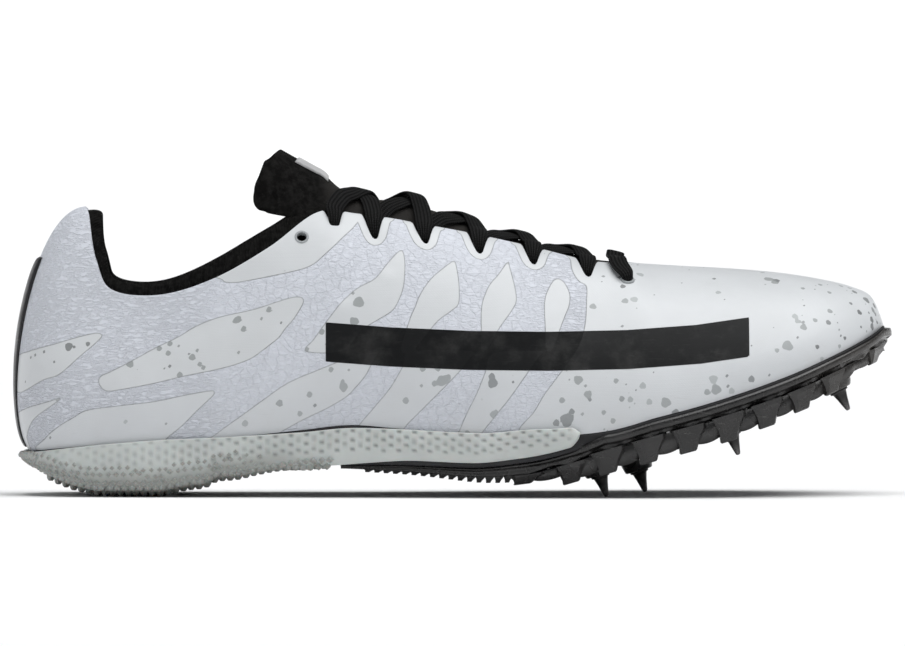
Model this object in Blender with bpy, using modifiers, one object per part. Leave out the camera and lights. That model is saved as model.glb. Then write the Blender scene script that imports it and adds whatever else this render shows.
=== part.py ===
"""Track spike shoe for the right foot, in metres, +Z up, toe towards +X, inner side of the foot at +Y.

Every piece is worked out from one table of sections, SECTIONS, which runs from the back of the
heel to the tip of the toe. A section gives the edge where the upper meets the sole, the edge of
the collar or throat, and two handles that shape the wall between them. The origin is on the floor
under the middle of the heel.
"""

import math

import bmesh
import bpy
import numpy as np
from mathutils import Matrix, Vector

# Driving sizes of the shoe.
SHOE_LENGTH = 0.280
HEEL_WIDTH = 0.061
BALL_WIDTH = 0.0915
HEEL_STACK = 0.0143
UPPER_HEIGHT = 0.078
TOE_LIFT = 0.0331
ORIGIN_SHARE = 0.144

# Walls and layers.
GAP = 0.0003
UPPER_WALL = 0.0018
INSOLE_THICKNESS = 0.003
TONGUE_THICKNESS = 0.003
FOREFOOT_FOAM = 0.0026
CUP_WALL = 0.0016
CUP_RIM = CUP_WALL + GAP
PLATE_THICKNESS = 0.004
PLATE_RIM = 0.0013
LUG_DEPTH = 0.0078

# Insole and tongue.
INSOLE_GAP = 0.0010
INSOLE_TOE_GAP = 0.0080
TONGUE_GAP = 0.0008
TONGUE_FLANK = 0.0110
TONGUE_SKEW = 0.0025
TONGUE_RIDGE = 0.004
TONGUE_TIP_SHARE = 0.3017
TONGUE_RISE = 1.24
PATCH_THICKNESS = 0.0006
PATCH_FROM = -0.32
PATCH_TO = 0.52

# Spikes, screwed into wells under the plate.
SPIKE_LENGTH = 0.0064
SPIKE_FLANGE = 0.0008
SPIKE_FLANGE_RADIUS = 0.0030
SPIKE_BASE_RADIUS = 0.0024
SPIKE_TIP_RADIUS = 0.0007
SPIKE_SIDES = 8
REAR_WELL_DEPTH = 0.0081

# Height of the upper's edge over the floor at the rear spikes: the layers that carry it.
BALL_STACK = FOREFOOT_FOAM + GAP + PLATE_THICKNESS + REAR_WELL_DEPTH + SPIKE_LENGTH

# Heel tread, plate outline and lugs.
NUB_HEIGHT = 0.0014
NUB_INSET = 0.0009
CUP_FLOOR = 0.0022
CORE_STEP = 0.0018
CUP_BULGE = 0.0006
CUP_TURN = 0.0050
CUP_FLOOR_END = 0.365
CUP_END = 0.646
PLATE_START = 0.372
PLATE_TUCK = 0.0025
LUG_INSET = 0.0007
LUG_TIP = 0.45
LUG_CLEARANCE = 0.0065
WELL_RADIUS = 0.0044
WELL_ROOT = 0.0005
FRONT_WELL_DEPTH = 0.0062

# Collar roll, heel strip, laces and eyelets.
ROLL_HEIGHT = 0.0036
ROLL_DEPTH = 0.012
ROLL_THICKNESS = 0.0034
STRIP_WIDTH = 0.012
STRIP_THICKNESS = 0.0011
LACE_WIDTH = 0.0058
LACE_THICKNESS = 0.0013
LACE_STEPS = 6
LACE_EDGE = 0.0034
LACE_LIFT = 0.0009
LACE_OVER = 0.0005
LACE_TRIM = 0.25
LACE_BAR_BACK = 0.25
ROLL_GAP = 0.0011
ROLL_LIFT = 0.0008
NOTCH_WIDTH = 0.0068
NOTCH_DEPTH = 0.0078
EYELET_RADIUS = 0.0017

# One row for each section, heel to toe. Lengths are shares of named sizes: base_x and top_x of
# SHOE_LENGTH; outer, inner, half, swing, flare and lean of the width there; heel, ball and toe are
# the shares of HEEL_STACK, BALL_STACK and TOE_LIFT in the edge's height; top, stand and drop are
# shares of UPPER_HEIGHT.
COLUMNS = (
    "base_x", "outer", "inner", "heel", "ball", "toe", "top_x", "half", "swing", "top",
    "flare", "stand", "lean", "drop",
)
SECTIONS = (
    (0.0155, 0.000, 0.000, 1.00, 0.00, 0.000, 0.0784, 0.000, 0.000, 1.000, 0.169, 0.15, 0.295, 0.02),
    (0.0258, 0.262, 0.254, 1.02, 0.00, 0.000, 0.0841, 0.164, 0.000, 0.969, 0.140, 0.18, 0.240, 0.06),
    (0.0578, 0.418, 0.410, 1.09, 0.00, 0.000, 0.0922, 0.310, 0.000, 0.772, 0.090, 0.22, 0.120, 0.16),
    (0.1105, 0.492, 0.475, 1.19, 0.00, 0.000, 0.1105, 0.405, 0.000, 0.631, 0.060, 0.24, 0.070, 0.20),
    (0.1769, 0.516, 0.484, 1.28, 0.00, 0.000, 0.1654, 0.455, 0.000, 0.591, 0.045, 0.24, 0.050, 0.20),
    (0.2513, 0.533, 0.467, 1.35, 0.00, 0.000, 0.2284, 0.475, 0.000, 0.646, 0.045, 0.25, 0.055, 0.20),
    (0.3257, 0.526, 0.433, 0.90, 0.40, 0.000, 0.2914, 0.426, 0.000, 0.747, 0.045, 0.27, 0.090, 0.18),
    (0.3830, 0.501, 0.402, 0.72, 0.60, 0.000, 0.3463, 0.285, 0.000, 0.867, 0.045, 0.30, 0.150, 0.15),
    (0.4400, 0.480, 0.390, 0.45, 0.73, 0.000, 0.3944, 0.194, 0.000, 0.872, 0.040, 0.30, 0.180, 0.13),
    (0.5200, 0.469, 0.406, 0.20, 0.83, 0.000, 0.4860, 0.143, 0.010, 0.837, 0.035, 0.28, 0.190, 0.100),
    (0.6000, 0.481, 0.448, 0.00, 0.925, 0.000, 0.5776, 0.115, 0.020, 0.779, 0.030, 0.25, 0.200, 0.085),
    (0.6750, 0.497, 0.492, 0.00, 1.00, 0.000, 0.6577, 0.093, 0.030, 0.688, 0.025, 0.22, 0.215, 0.070),
    (0.7320, 0.492, 0.508, 0.00, 1.00, 0.130, 0.6980, 0.064, 0.034, 0.625, 0.025, 0.20, 0.232, 0.050),
    (0.7650, 0.481, 0.514, 0.00, 1.00, 0.202, 0.7190, 0.000, 0.036, 0.588, 0.025, 0.19, 0.285, 0.035),
    (0.8000, 0.464, 0.512, 0.00, 1.00, 0.287, 0.7650, 0.000, 0.042, 0.543, 0.025, 0.18, 0.270, 0.020),
    (0.8450, 0.433, 0.496, 0.00, 1.00, 0.411, 0.8230, 0.000, 0.050, 0.479, 0.025, 0.16, 0.257, 0.010),
    (0.8900, 0.373, 0.461, 0.00, 1.00, 0.550, 0.8780, 0.000, 0.060, 0.402, 0.022, 0.14, 0.232, 0.000),
    (0.9320, 0.273, 0.404, 0.00, 1.00, 0.704, 0.9240, 0.000, 0.070, 0.310, 0.018, 0.115, 0.185, 0.000),
    (0.9645, 0.148, 0.322, 0.00, 1.00, 0.834, 0.9580, 0.000, 0.080, 0.224, 0.014, 0.085, 0.115, 0.00),
    (0.9840, 0.027, 0.219, 0.00, 1.00, 0.925, 0.9805, 0.000, 0.085, 0.142, 0.008, 0.055, 0.060, 0.00),
    (0.9940, -0.087, 0.087, 0.00, 1.00, 0.995, 0.9940, 0.000, 0.087, 0.000, 0.000, 0.00, 0.000, 0.00),
)
LAST = len(SECTIONS) - 1
LOOP = 2 * LAST
HEEL_EDGE_END = 7
FIRST_RIDGE = 13


def blend(low, high, x):
    """0 below low, 1 above high, and a smooth step between."""
    u = min(max((x - low) / (high - low), 0.0), 1.0)
    return u * u * (3 - 2 * u)


def along(share):
    """Distance from the origin of a share of the shoe's length."""
    return (share - ORIGIN_SHARE) * SHOE_LENGTH


def share_of(x):
    return x / SHOE_LENGTH + ORIGIN_SHARE


def width_at(share):
    """The shoe's width at a share of its length, heel width at the back and ball width in front."""
    return HEEL_WIDTH + (BALL_WIDTH - HEEL_WIDTH) * blend(0.25, 0.60, share)


def unit(v):
    return v / max(np.linalg.norm(v), 1e-12)


def section_edges(row, side):
    """Base and top points of a section on one side: -1 is the outer side of the foot, +1 the inner."""
    r = dict(zip(COLUMNS, row))
    across = width_at(r["base_x"]) * (-r["outer"] if side < 0 else r["inner"])
    height = HEEL_STACK * r["heel"] + BALL_STACK * r["ball"] + TOE_LIFT * r["toe"]
    base = np.array([along(r["base_x"]), across, height])
    top_width = width_at(r["top_x"])
    top = np.array([
        along(r["top_x"]),
        top_width * (r["swing"] + side * r["half"]),
        height + UPPER_HEIGHT * r["top"],
    ])
    return base, top


def control_loop():
    """Four control points for each row of the closed loop: outer side heel to toe, then inner side back."""
    order = [(i, -1) for i in range(LAST + 1)] + [(i, 1) for i in range(LAST - 1, 0, -1)]
    edges = [section_edges(SECTIONS[i], side) for i, side in order]
    rows = []
    for k, (i, side) in enumerate(order):
        r = dict(zip(COLUMNS, SECTIONS[i]))
        base, top = edges[k]
        before, after = edges[k - 1], edges[(k + 1) % len(edges)]
        run = unit((after[0] - before[0]) * (1, 1, 0))
        out = np.array([run[1], -run[0], 0.0])
        if i >= HEEL_EDGE_END:
            away = np.array([0.0, side, 0.0])
        else:
            edge = unit((after[1] - before[1]) * (1, 1, 0))
            away = np.array([edge[1], -edge[0], 0.0])
        width = width_at(r["base_x"])
        up = np.array([0.0, 0.0, UPPER_HEIGHT])
        low = base + out * width * r["flare"] + up * r["stand"]
        high = top + away * width * r["lean"] - up * r["drop"]
        rows.append((base, low, high, top))
    return np.array(rows)


CONTROL = control_loop()


def curve_through(s):
    """The four control points at place s of the closed loop, on a smooth curve through the rows."""
    i = math.floor(s)
    f = s - i
    a, b, c, d = (CONTROL[(i + k) % LOOP] for k in (-1, 0, 1, 2))
    return 0.5 * (2 * b + (c - a) * f + (2 * a - 5 * b + 4 * c - d) * f**2 + (3 * b - a - 3 * c + d) * f**3)


def loop_controls(s):
    """Control points at place s. In front of the throat both sides share their top point, on the ridge."""
    controls = curve_through(s)
    if FIRST_RIDGE <= s <= LOOP - FIRST_RIDGE:
        controls[3] = (controls[3] + curve_through(LOOP - s)[3]) / 2
    return controls


def upper_point(s, t):
    """A point on the outside of the upper: s runs round the shoe, t from the sole (0) to the edge (1)."""
    a, b, c, d = loop_controls(s)
    return a * (1 - t) ** 3 + b * 3 * t * (1 - t) ** 2 + c * 3 * t * t * (1 - t) + d * t**3


def upper_normal(s, t):
    """Outward unit normal of the upper."""
    step = 0.01
    t = min(max(t, step), 1 - step)
    ds = upper_point(s + step, t) - upper_point(s - step, t)
    dt = upper_point(s, t + step) - upper_point(s, t - step)
    return unit(np.cross(ds, dt))


def wall_length(s):
    """Length of the upper's wall from the sole to its top edge at s."""
    points = [upper_point(s, k / 12) for k in range(13)]
    return sum(np.linalg.norm(b - a) for a, b in zip(points, points[1:]))


def below_edge(s, depth, inward=0.0):
    """The point at a depth down the wall from the top edge, moved inward from its outside."""
    t = 1 - depth / wall_length(s)
    if t > 1:
        up = unit(upper_point(s, 1.0) - upper_point(s, 0.97))
        return upper_point(s, 1.0) - up * depth - upper_normal(s, 1.0) * inward
    return upper_point(s, t) - upper_normal(s, t) * inward


def base_point(s, outward=0.0):
    """A point on the edge where the upper meets the sole, moved outward in plan."""
    point = loop_controls(s)[0]
    step = 0.02
    run = unit((loop_controls(s + step)[0] - loop_controls(s - step)[0]) * (1, 1, 0))
    return point + np.array([run[1], -run[0], 0.0]) * outward


def smooth_table(rows, x):
    """A smooth value at x from rows of (place, value)."""
    xs = [row[0] for row in rows]
    ys = [row[1] for row in rows]
    if x <= xs[0]:
        return ys[0]
    if x >= xs[-1]:
        return ys[-1]
    i = max(k for k in range(len(xs) - 1) if xs[k] <= x)
    slopes = [(ys[k + 1] - ys[k]) / (xs[k + 1] - xs[k]) for k in range(len(xs) - 1)]

    def tangent(k):
        if k in (0, len(xs) - 1):
            return slopes[min(k, len(slopes) - 1)]
        a, b = slopes[k - 1], slopes[k]
        return 0.0 if a * b <= 0 else 2 * a * b / (a + b)

    h = xs[i + 1] - xs[i]
    u = (x - xs[i]) / h
    return (
        ys[i] * (1 + 2 * u) * (1 - u) ** 2 + ys[i + 1] * u * u * (3 - 2 * u)
        + tangent(i) * h * u * (1 - u) ** 2 + tangent(i + 1) * h * u * u * (u - 1)
    )


JOINT_LINE = [(share_of(row[0][0]), row[0][2]) for row in CONTROL[: LAST + 1]]

# Underside of the sole, from the height of its nubs (0) to the joint with the upper (1).
UNDERSIDE = (
    (0.005, 0.84), (0.028, 0.49), (0.051, 0.25), (0.074, 0.09), (0.1025, 0.0), (0.213, 0.0), (0.234, 0.17),
    (0.280, 0.37), (0.310, 0.42), (0.371, 0.42), (0.460, 0.44), (0.520, 0.43), (0.578, 0.53),
    (0.623, 0.665), (0.660, 0.81), (0.700, 1.0),
)
# Height of the heel cup's rim over the joint, in shares of FOREFOOT_FOAM.
RIM_LAP = (
    (0.0, -0.25), (0.25, -0.10), (0.37, -0.50), (0.45, -0.12), (0.53, 0.0), (0.60, 0.80), (0.635, 0.85),
    (0.646, 0.2),
)
# Slab and lugs of the plate, in shares of PLATE_THICKNESS and LUG_DEPTH.
SLAB = ((0.37, 0.25), (0.45, 0.5), (0.52, 0.7), (0.60, 1.0), (0.70, 0.9), (0.90, 0.85), (0.98, 0.7))
LUGS = ((0.37, 0.05), (0.45, 0.15), (0.56, 0.26), (0.61, 0.5), (0.65, 0.85), (0.80, 1.0), (0.90, 0.85), (0.98, 0.5))


def joint_height(share):
    return smooth_table(JOINT_LINE, share)


def underside(share):
    """Height of the rubber and foam over the floor, without nubs or plate."""
    joint = joint_height(share)
    return min(NUB_HEIGHT + (joint - NUB_HEIGHT) * smooth_table(UNDERSIDE, share), joint - FOREFOOT_FOAM)


def plate_top(share):
    return underside(share) - GAP


def plate_bottom(share):
    return plate_top(share) - PLATE_THICKNESS * smooth_table(SLAB, share)


def slope_at(share):
    """Rise of the plate along the shoe."""
    step = 0.02
    return (plate_bottom(share + step) - plate_bottom(share - step)) / (2 * step * SHOE_LENGTH)


def place_where(share, control, start=0.0, end=float(LAST)):
    """Place on the outer side of the loop where a control point reaches a share of the length."""
    low, high = start, end
    for _ in range(40):
        middle = (low + high) / 2
        if share_of(loop_controls(middle)[control][0]) < share:
            low = middle
        else:
            high = middle
    return low


# Stations of the sole: from a place on the loop to the next, and how many steps lie between.
SOLE_STATIONS = ((0, 1, 2), (1, 7, 18), (7, 12, 20), (12, 18, 12), (18, 20, 3))


def sole_places(start, end):
    """Stations that every layer of the sole shares, with the start and the end among them."""
    shared = [start + (end - start) * k / n for start, end, n in SOLE_STATIONS for k in range(n)] + [float(LAST)]
    return [start] + [s for s in shared if start + 0.04 < s < end - 0.04] + [end]


def base_place(share):
    return place_where(share, 0)


def throat_place(share):
    return place_where(share, 3, float(HEEL_EDGE_END) - 2)


def steps_between(start, end, count):
    """Count + 1 even places from start to end."""
    return [start + (end - start) * k / count for k in range(count + 1)]


def both_edges(s, outward, height):
    """The outer and inner edge of the sole at s, moved outward, at a height worked out from their place."""
    edges = [base_point(s, outward), base_point(LOOP - s, outward)]
    for edge in edges:
        edge[2] = height(share_of(edge[0]))
    return edges


def across(edges, places):
    """Points from the first edge to the second at places from 0 to 1."""
    return [edges[0] * (1 - v) + edges[1] * v for v in places]


def mesh_object(name, mesh, collection):
    """Makes coincident points one, turns the faces outward and links the object."""
    bmesh.ops.remove_doubles(mesh, verts=mesh.verts, dist=2e-5)
    bmesh.ops.recalc_face_normals(mesh, faces=mesh.faces)
    data = bpy.data.meshes.new(name)
    mesh.to_mesh(data)
    mesh.free()
    made = bpy.data.objects.new(name, data)
    collection.objects.link(made)
    return made


def loft(mesh, rows, closed=True):
    """Faces between neighbouring rows of points, as a grid of rows and columns."""
    made = [[mesh.verts.new(Vector(p)) for p in row] for row in rows]
    count = len(rows[0])
    grid = []
    for a, b in zip(made, made[1:]):
        grid.append([
            mesh.faces.new((a[j], b[j], b[(j + 1) % count], a[(j + 1) % count]))
            for j in range(count if closed else count - 1)
        ])
    return made, grid


def solid_loft(name, rows, collection):
    """A solid through closed sections, with a flat cap on each end."""
    mesh = bmesh.new()
    made, _ = loft(mesh, rows)
    mesh.faces.new(made[0])
    mesh.faces.new(list(reversed(made[-1])))
    return mesh_object(name, mesh, collection)


def with_modifiers(made):
    """Gives an object the mesh that its modifiers make, and drops them."""
    graph = bpy.context.evaluated_depsgraph_get()
    graph.update()
    data = bpy.data.meshes.new_from_object(made.evaluated_get(graph))
    made.modifiers.clear()
    made.data = data
    return made


def solidify(made, thickness):
    wall = made.modifiers.new("wall", "SOLIDIFY")
    wall.thickness = thickness
    wall.offset = -1.0
    wall.use_even_offset = True
    return made


def boolean(made, other, operation):
    """Cuts or joins another object, which is then removed."""
    cut = made.modifiers.new(operation.lower(), "BOOLEAN")
    cut.object = other
    cut.operation = operation
    cut.solver = "EXACT"
    with_modifiers(made)
    bpy.data.objects.remove(other)
    mesh = bmesh.new()
    mesh.from_mesh(made.data)
    bmesh.ops.remove_doubles(mesh, verts=mesh.verts, dist=2e-5)
    bmesh.ops.dissolve_degenerate(mesh, edges=mesh.edges, dist=1e-6)
    mesh.to_mesh(made.data)
    mesh.free()
    return made


def covered(inside, outside):
    """Closed sections of a layer, from rows of points on its inside and its outside."""
    return [list(a) + list(reversed(b)) for a, b in zip(inside, outside)]


UPPER_STEPS = 2
UPPER_RINGS = 9
FOOT_SIDES = (-1, 1)

# Lace notches and holes along the throat's edge: share of the length at the edge, cut or hole.
NOTCHES = (0.4093, 0.4671, 0.5295, 0.5913, 0.6537)
TOP_NOTCH = 0.3646
FRONT_HOLE = 0.6966
SPARE_EYELET = 0.3268
EYELET_EDGE = 0.0072


def wall_frame(s, depth):
    """A point on the upper with its outward normal and the direction down the wall."""
    point = below_edge(s, depth)
    normal = upper_normal(s, 1 - depth / wall_length(s))
    down = unit(below_edge(s, depth + 0.003) - below_edge(s, max(depth - 0.003, 0.0)))
    return point, normal, down


def notch_cutter(mesh, s):
    """A V cut through the wall, open at the throat's edge."""
    _, normal, down = wall_frame(s, NOTCH_DEPTH / 2)
    edge = upper_point(s, 1.0)
    ahead = unit(np.cross(normal, down))
    mouth = edge - down * NOTCH_WIDTH / 4
    outline = [
        mouth - ahead * NOTCH_WIDTH * 0.62,
        mouth + ahead * NOTCH_WIDTH * 0.62,
        edge + ahead * NOTCH_WIDTH * 0.16 + down * NOTCH_DEPTH,
        edge - ahead * NOTCH_WIDTH * 0.16 + down * NOTCH_DEPTH,
    ]
    loft_cutter(mesh, outline, normal, NOTCH_DEPTH * 0.6)


def hole_cutter(mesh, s, depth):
    """A round hole through the wall."""
    point, normal, down = wall_frame(s, depth)
    ahead = unit(np.cross(normal, down))
    outline = []
    for k in range(8):
        angle = math.tau * k / 8
        outline.append(point + (ahead * math.cos(angle) + down * math.sin(angle)) * EYELET_RADIUS)
    loft_cutter(mesh, outline, normal, UPPER_WALL * 2)


def loft_cutter(mesh, outline, normal, reach):
    rows = [[p - normal * reach for p in outline], [p + normal * reach for p in outline]]
    made, _ = loft(mesh, rows)
    mesh.faces.new(made[0])
    mesh.faces.new(list(reversed(made[-1])))


def make_upper(collection):
    """The hollow upper: one wall round the foot, closed along the ridge in front of the throat."""
    mesh = bmesh.new()
    places = [k / UPPER_STEPS for k in range(LOOP * UPPER_STEPS + 1)]
    loft(mesh, [[upper_point(s, j / UPPER_RINGS) for j in range(UPPER_RINGS + 1)] for s in places], closed=False)
    upper = with_modifiers(solidify(mesh_object("upper", mesh, collection), UPPER_WALL))
    cuts = bmesh.new()
    for side in FOOT_SIDES:
        for share in NOTCHES + (TOP_NOTCH,):
            notch_cutter(cuts, side_place(throat_place(share), side))
        hole_cutter(cuts, side_place(throat_place(FRONT_HOLE), side), EYELET_EDGE * 0.8)
        hole_cutter(cuts, side_place(throat_place(SPARE_EYELET), side), EYELET_EDGE)
    return boolean(upper, mesh_object("cuts", cuts, collection), "DIFFERENCE")


def side_place(s, side):
    return s if side < 0 else LOOP - s


def make_insole(collection):
    """The sock liner on the foam, clear of the upper's wall, its toe end short of the roof."""
    rows = []
    for s in steps_between(0.0, float(LAST), LAST):
        inset = UPPER_WALL + INSOLE_GAP + INSOLE_TOE_GAP * blend(0.93, 0.99, share_of(loop_controls(s)[0][0]))
        edges = both_edges(s, -inset, joint_height)
        low = across(edges, (0.0, 0.5, 1.0))
        rows.append([low, [p + (0, 0, INSOLE_THICKNESS) for p in low]])
    return tapered_solid("insole", covered(*zip(*rows)), collection)


def tapered_solid(name, rows, collection):
    """A solid through closed sections whose first and last section are a single edge."""
    mesh = bmesh.new()
    loft(mesh, rows)
    return mesh_object(name, mesh, collection)


def core_bottom(share):
    return underside(share) + (CUP_FLOOR + GAP if share < CUP_FLOOR_END + CORE_STEP * 1.5 else 0.0)


def make_core(collection):
    """The foam midsole, from heel to toe. It steps down in front of the heel cup's floor."""
    step = [base_place(CUP_FLOOR_END + CORE_STEP * k) for k in (1, 2)]
    rows = []
    for s in sole_places(0.0, step[0]) + sole_places(step[1], float(LAST)):
        top = across(both_edges(s, 0.0, lambda share: joint_height(share) - GAP), (0.0, 0.5, 1.0))
        rows.append([across(both_edges(s, 0.0, core_bottom), (0.0, 0.5, 1.0)), top])
    return tapered_solid("midsole_foam", covered(*zip(*rows)), collection)


def cup_side(s):
    """One side of the cup's section at s: inner rim, rim, wall, turn, sole edge, inner floor."""
    share = share_of(base_point(s)[0])
    lap = smooth_table(RIM_LAP, share) * FOREFOOT_FOAM
    flare = GAP + max(lap, 0.0) * 0.25
    rim = joint_height(share) + lap
    heel = 1 - blend(0.22, 0.36, share)

    def at(outward, height, lift=0.0):
        point = base_point(s, outward)
        low = underside(share_of(point[0]))
        point[2] = low + (rim - low) * height + lift
        return point

    return [
        at(flare, 1.0), at(CUP_RIM + flare, 0.97), at(CUP_RIM + flare + CUP_BULGE, 0.55),
        at(CUP_RIM - 0.0006 * heel, 0.12), at(GAP - CUP_TURN * heel, 0.0, CUP_TURN * 0.25 * heel),
        at(GAP, 0.0, CUP_FLOOR),
    ]


CUP_COLUMNS = 7


def make_cup(collection):
    """The white rubber: a tub round the heel with nubs under it, and two arms along the midfoot."""
    mesh = bmesh.new()
    floor_end = base_place(CUP_FLOOR_END)
    rows = []
    for s in sole_places(0.0, floor_end):
        outer, inner = cup_side(s), cup_side((LOOP - s) % LOOP)
        floor = across([outer[4], inner[4]], [k / CUP_COLUMNS for k in range(1, CUP_COLUMNS)])
        for point in floor:
            point[2] = underside(share_of(point[0]))
        rows.append(outer[:5] + floor + list(reversed(inner[:5])) + [inner[5], outer[5]])
    made, grid = loft(mesh, rows)
    count = len(rows[0])
    last = made[-1]
    mesh.faces.new(last[4:count - 6] + [last[count - 2], last[count - 1]])
    arms = sole_places(floor_end, base_place(CUP_END))
    starts = {-1: last[:5] + [last[-1]], 1: list(reversed(last[count - 7:count - 2])) + [last[count - 2]]}
    for side in FOOT_SIDES:
        before = starts[side]
        for s in arms[1:]:
            here = [mesh.verts.new(Vector(p)) for p in cup_side(side_place(s, side))]
            for j in range(6):
                mesh.faces.new((before[j], here[j], here[(j + 1) % 6], before[(j + 1) % 6]))
            before = here
        mesh.faces.new(before)
    bmesh.ops.remove_doubles(mesh, verts=mesh.verts, dist=2e-5)
    bmesh.ops.recalc_face_normals(mesh, faces=mesh.faces)
    nubs = [face for row in grid[2:] for face in row[4:4 + CUP_COLUMNS] if face.is_valid]
    bmesh.ops.inset_individual(mesh, faces=nubs, thickness=NUB_INSET, use_even_offset=True)
    for face in nubs:
        for vert in face.verts:
            vert.co.z -= NUB_HEIGHT
    return mesh_object("heel_cup", mesh, collection)


PLATE_COLUMNS = (0.0, 0.10, 0.30, 0.50, 0.70, 0.90, 1.0)


def plate_outward(share):
    """How far the plate stands out from the upper's edge: under the cup it lies further in."""
    return PLATE_RIM - (PLATE_RIM + PLATE_TUCK) * (1 - blend(CUP_END - 0.03, CUP_END + 0.02, share))


def clear_of_spikes(point):
    """Whether a lug here leaves the flange of each spike free."""
    return all(
        math.hypot(point.x - along(share), point.y - over * BALL_WIDTH) > WELL_RADIUS + LUG_CLEARANCE
        for _, share, over, _ in SPIKES
    )


def make_plate(collection):
    """The stiff spike plate with its lugs and the six wells that hold the spikes."""
    mesh = bmesh.new()
    rows = []
    for s in sole_places(base_place(PLATE_START), float(LAST)):
        outward = plate_outward(share_of(loop_controls(s)[0][0]))
        top = across(both_edges(s, outward, plate_top), (0.0, 0.5, 1.0))
        low = across(both_edges(s, outward, plate_bottom), PLATE_COLUMNS)
        rows.append(list(reversed(top)) + low)
    made, grid = loft(mesh, rows)
    mesh.faces.new(made[0])
    bmesh.ops.remove_doubles(mesh, verts=mesh.verts, dist=2e-5)
    bmesh.ops.recalc_face_normals(mesh, faces=mesh.faces)
    lugs = []
    for i, row in enumerate(grid[:-2]):
        for j, face in enumerate(row[3:3 + len(PLATE_COLUMNS) - 1]):
            if (j in (0, 5) or (i + j) % 2) and clear_of_spikes(face.calc_center_median()):
                lugs.append(face)
    bmesh.ops.inset_individual(mesh, faces=lugs, thickness=LUG_INSET, use_even_offset=True)
    for face in lugs:
        share = share_of(face.calc_center_median().x)
        depth = LUG_DEPTH * smooth_table(LUGS, share)
        down = Vector((slope_at(share), 0, -1)).normalized()
        centre = face.calc_center_median()
        for vert in face.verts:
            vert.co = centre + (vert.co - centre) * LUG_TIP + down * depth
    plate = mesh_object("spike_plate", mesh, collection)
    wells = bmesh.new()
    for row in SPIKES:
        seat, axis = spike_seat(row)
        share = share_of(seat.x)
        height = (plate_bottom(share) - seat.z) * abs(axis.z) - GAP - SPIKE_FLANGE + WELL_ROOT
        turn = Vector((0, 0, -1)).rotation_difference(axis).to_matrix().to_4x4()
        middle = seat - axis * (GAP + SPIKE_FLANGE + height / 2)
        bmesh.ops.create_cone(
            wells, cap_ends=True, segments=10, radius1=WELL_RADIUS, radius2=WELL_RADIUS * 1.25, depth=height,
            matrix=Matrix.Translation(middle) @ turn @ Matrix.Rotation(math.pi, 4, "X"),
        )
    return boolean(plate, mesh_object("wells", wells, collection), "UNION")


# Spikes: place of the tip as a share of the length and of the ball width, and whether it reaches the floor.
SPIKES = (
    ("spike_1", 0.676, -0.306, True), ("spike_2", 0.722, 0.273, True), ("spike_3", 0.826, -0.33, False),
    ("spike_4", 0.826, 0.33, False), ("spike_5", 0.953, -0.10, False), ("spike_6", 0.953, 0.25, False),
)


def spike_seat(row):
    """Centre of the spike's base and the direction that it points."""
    _, share, over, on_floor = row
    slope = slope_at(share)
    axis = Vector((slope, 0, -1)).normalized()
    if on_floor:
        tip = Vector((along(share), over * BALL_WIDTH, SPIKE_TIP_RADIUS * abs(axis.x)))
    else:
        depth = FRONT_WELL_DEPTH + SPIKE_LENGTH
        tip = Vector((along(share), over * BALL_WIDTH, plate_bottom(share) - depth * (1 + slope**2) ** 0.5))
    return tip - axis * SPIKE_LENGTH, axis


def make_spike(row, collection):
    """A screw-in spike: a flange against the well and a cone."""
    seat, axis = spike_seat(row)
    profile = (
        (0.0, -SPIKE_FLANGE), (SPIKE_FLANGE_RADIUS, -SPIKE_FLANGE), (SPIKE_FLANGE_RADIUS, 0.0),
        (SPIKE_BASE_RADIUS, 0.0), (SPIKE_TIP_RADIUS, SPIKE_LENGTH), (0.0, SPIKE_LENGTH),
    )
    mesh = bmesh.new()
    points = [mesh.verts.new((r, 0, -z)) for r, z in profile]
    for a, b in zip(points, points[1:]):
        mesh.edges.new((a, b))
    spike = mesh_object(row[0], mesh, collection)
    turned = spike.modifiers.new("turned", "SCREW")
    turned.steps = turned.render_steps = SPIKE_SIDES
    turned.use_merge_vertices = True
    turned.merge_threshold = GAP / 10
    with_modifiers(spike)
    spike.location = seat
    spike.rotation_mode = "QUATERNION"
    spike.rotation_quaternion = Vector((0, 0, -1)).rotation_difference(axis)
    return spike


# Collar roll: depth below the upper's edge as a share of ROLL_DEPTH or, above it, of ROLL_HEIGHT, and
# place through the roll, from its outside (0) to its inside (1).
ROLL = (
    (1.0, 0.0), (0.02, 0.0), (0.0, -0.80), (-0.70, -0.55), (-1.0, 0.15), (-0.6, 0.85), (0.25, 1.0),
    (0.75, 0.75), (1.0, 0.3),
)
ROLL_END = 6.5


def make_collar(collection):
    """The padded collar edge, round the ankle from one side of the instep to the other."""
    rows = []
    for s in steps_between(-ROLL_END, ROLL_END, 26):
        slim = 1 - 0.72 * blend(4.6, ROLL_END, abs(s))
        row = []
        for depth, through in ROLL:
            down = depth * ROLL_DEPTH if depth > 0 else depth * (ROLL_HEIGHT - ROLL_LIFT) * slim - ROLL_LIFT
            inward = UPPER_WALL + ROLL_GAP + through * (ROLL_THICKNESS * slim if through > 0 else UPPER_WALL)
            row.append(below_edge(s % LOOP, down, inward))
        rows.append(row)
    return solid_loft("collar_roll", rows, collection)


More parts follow.
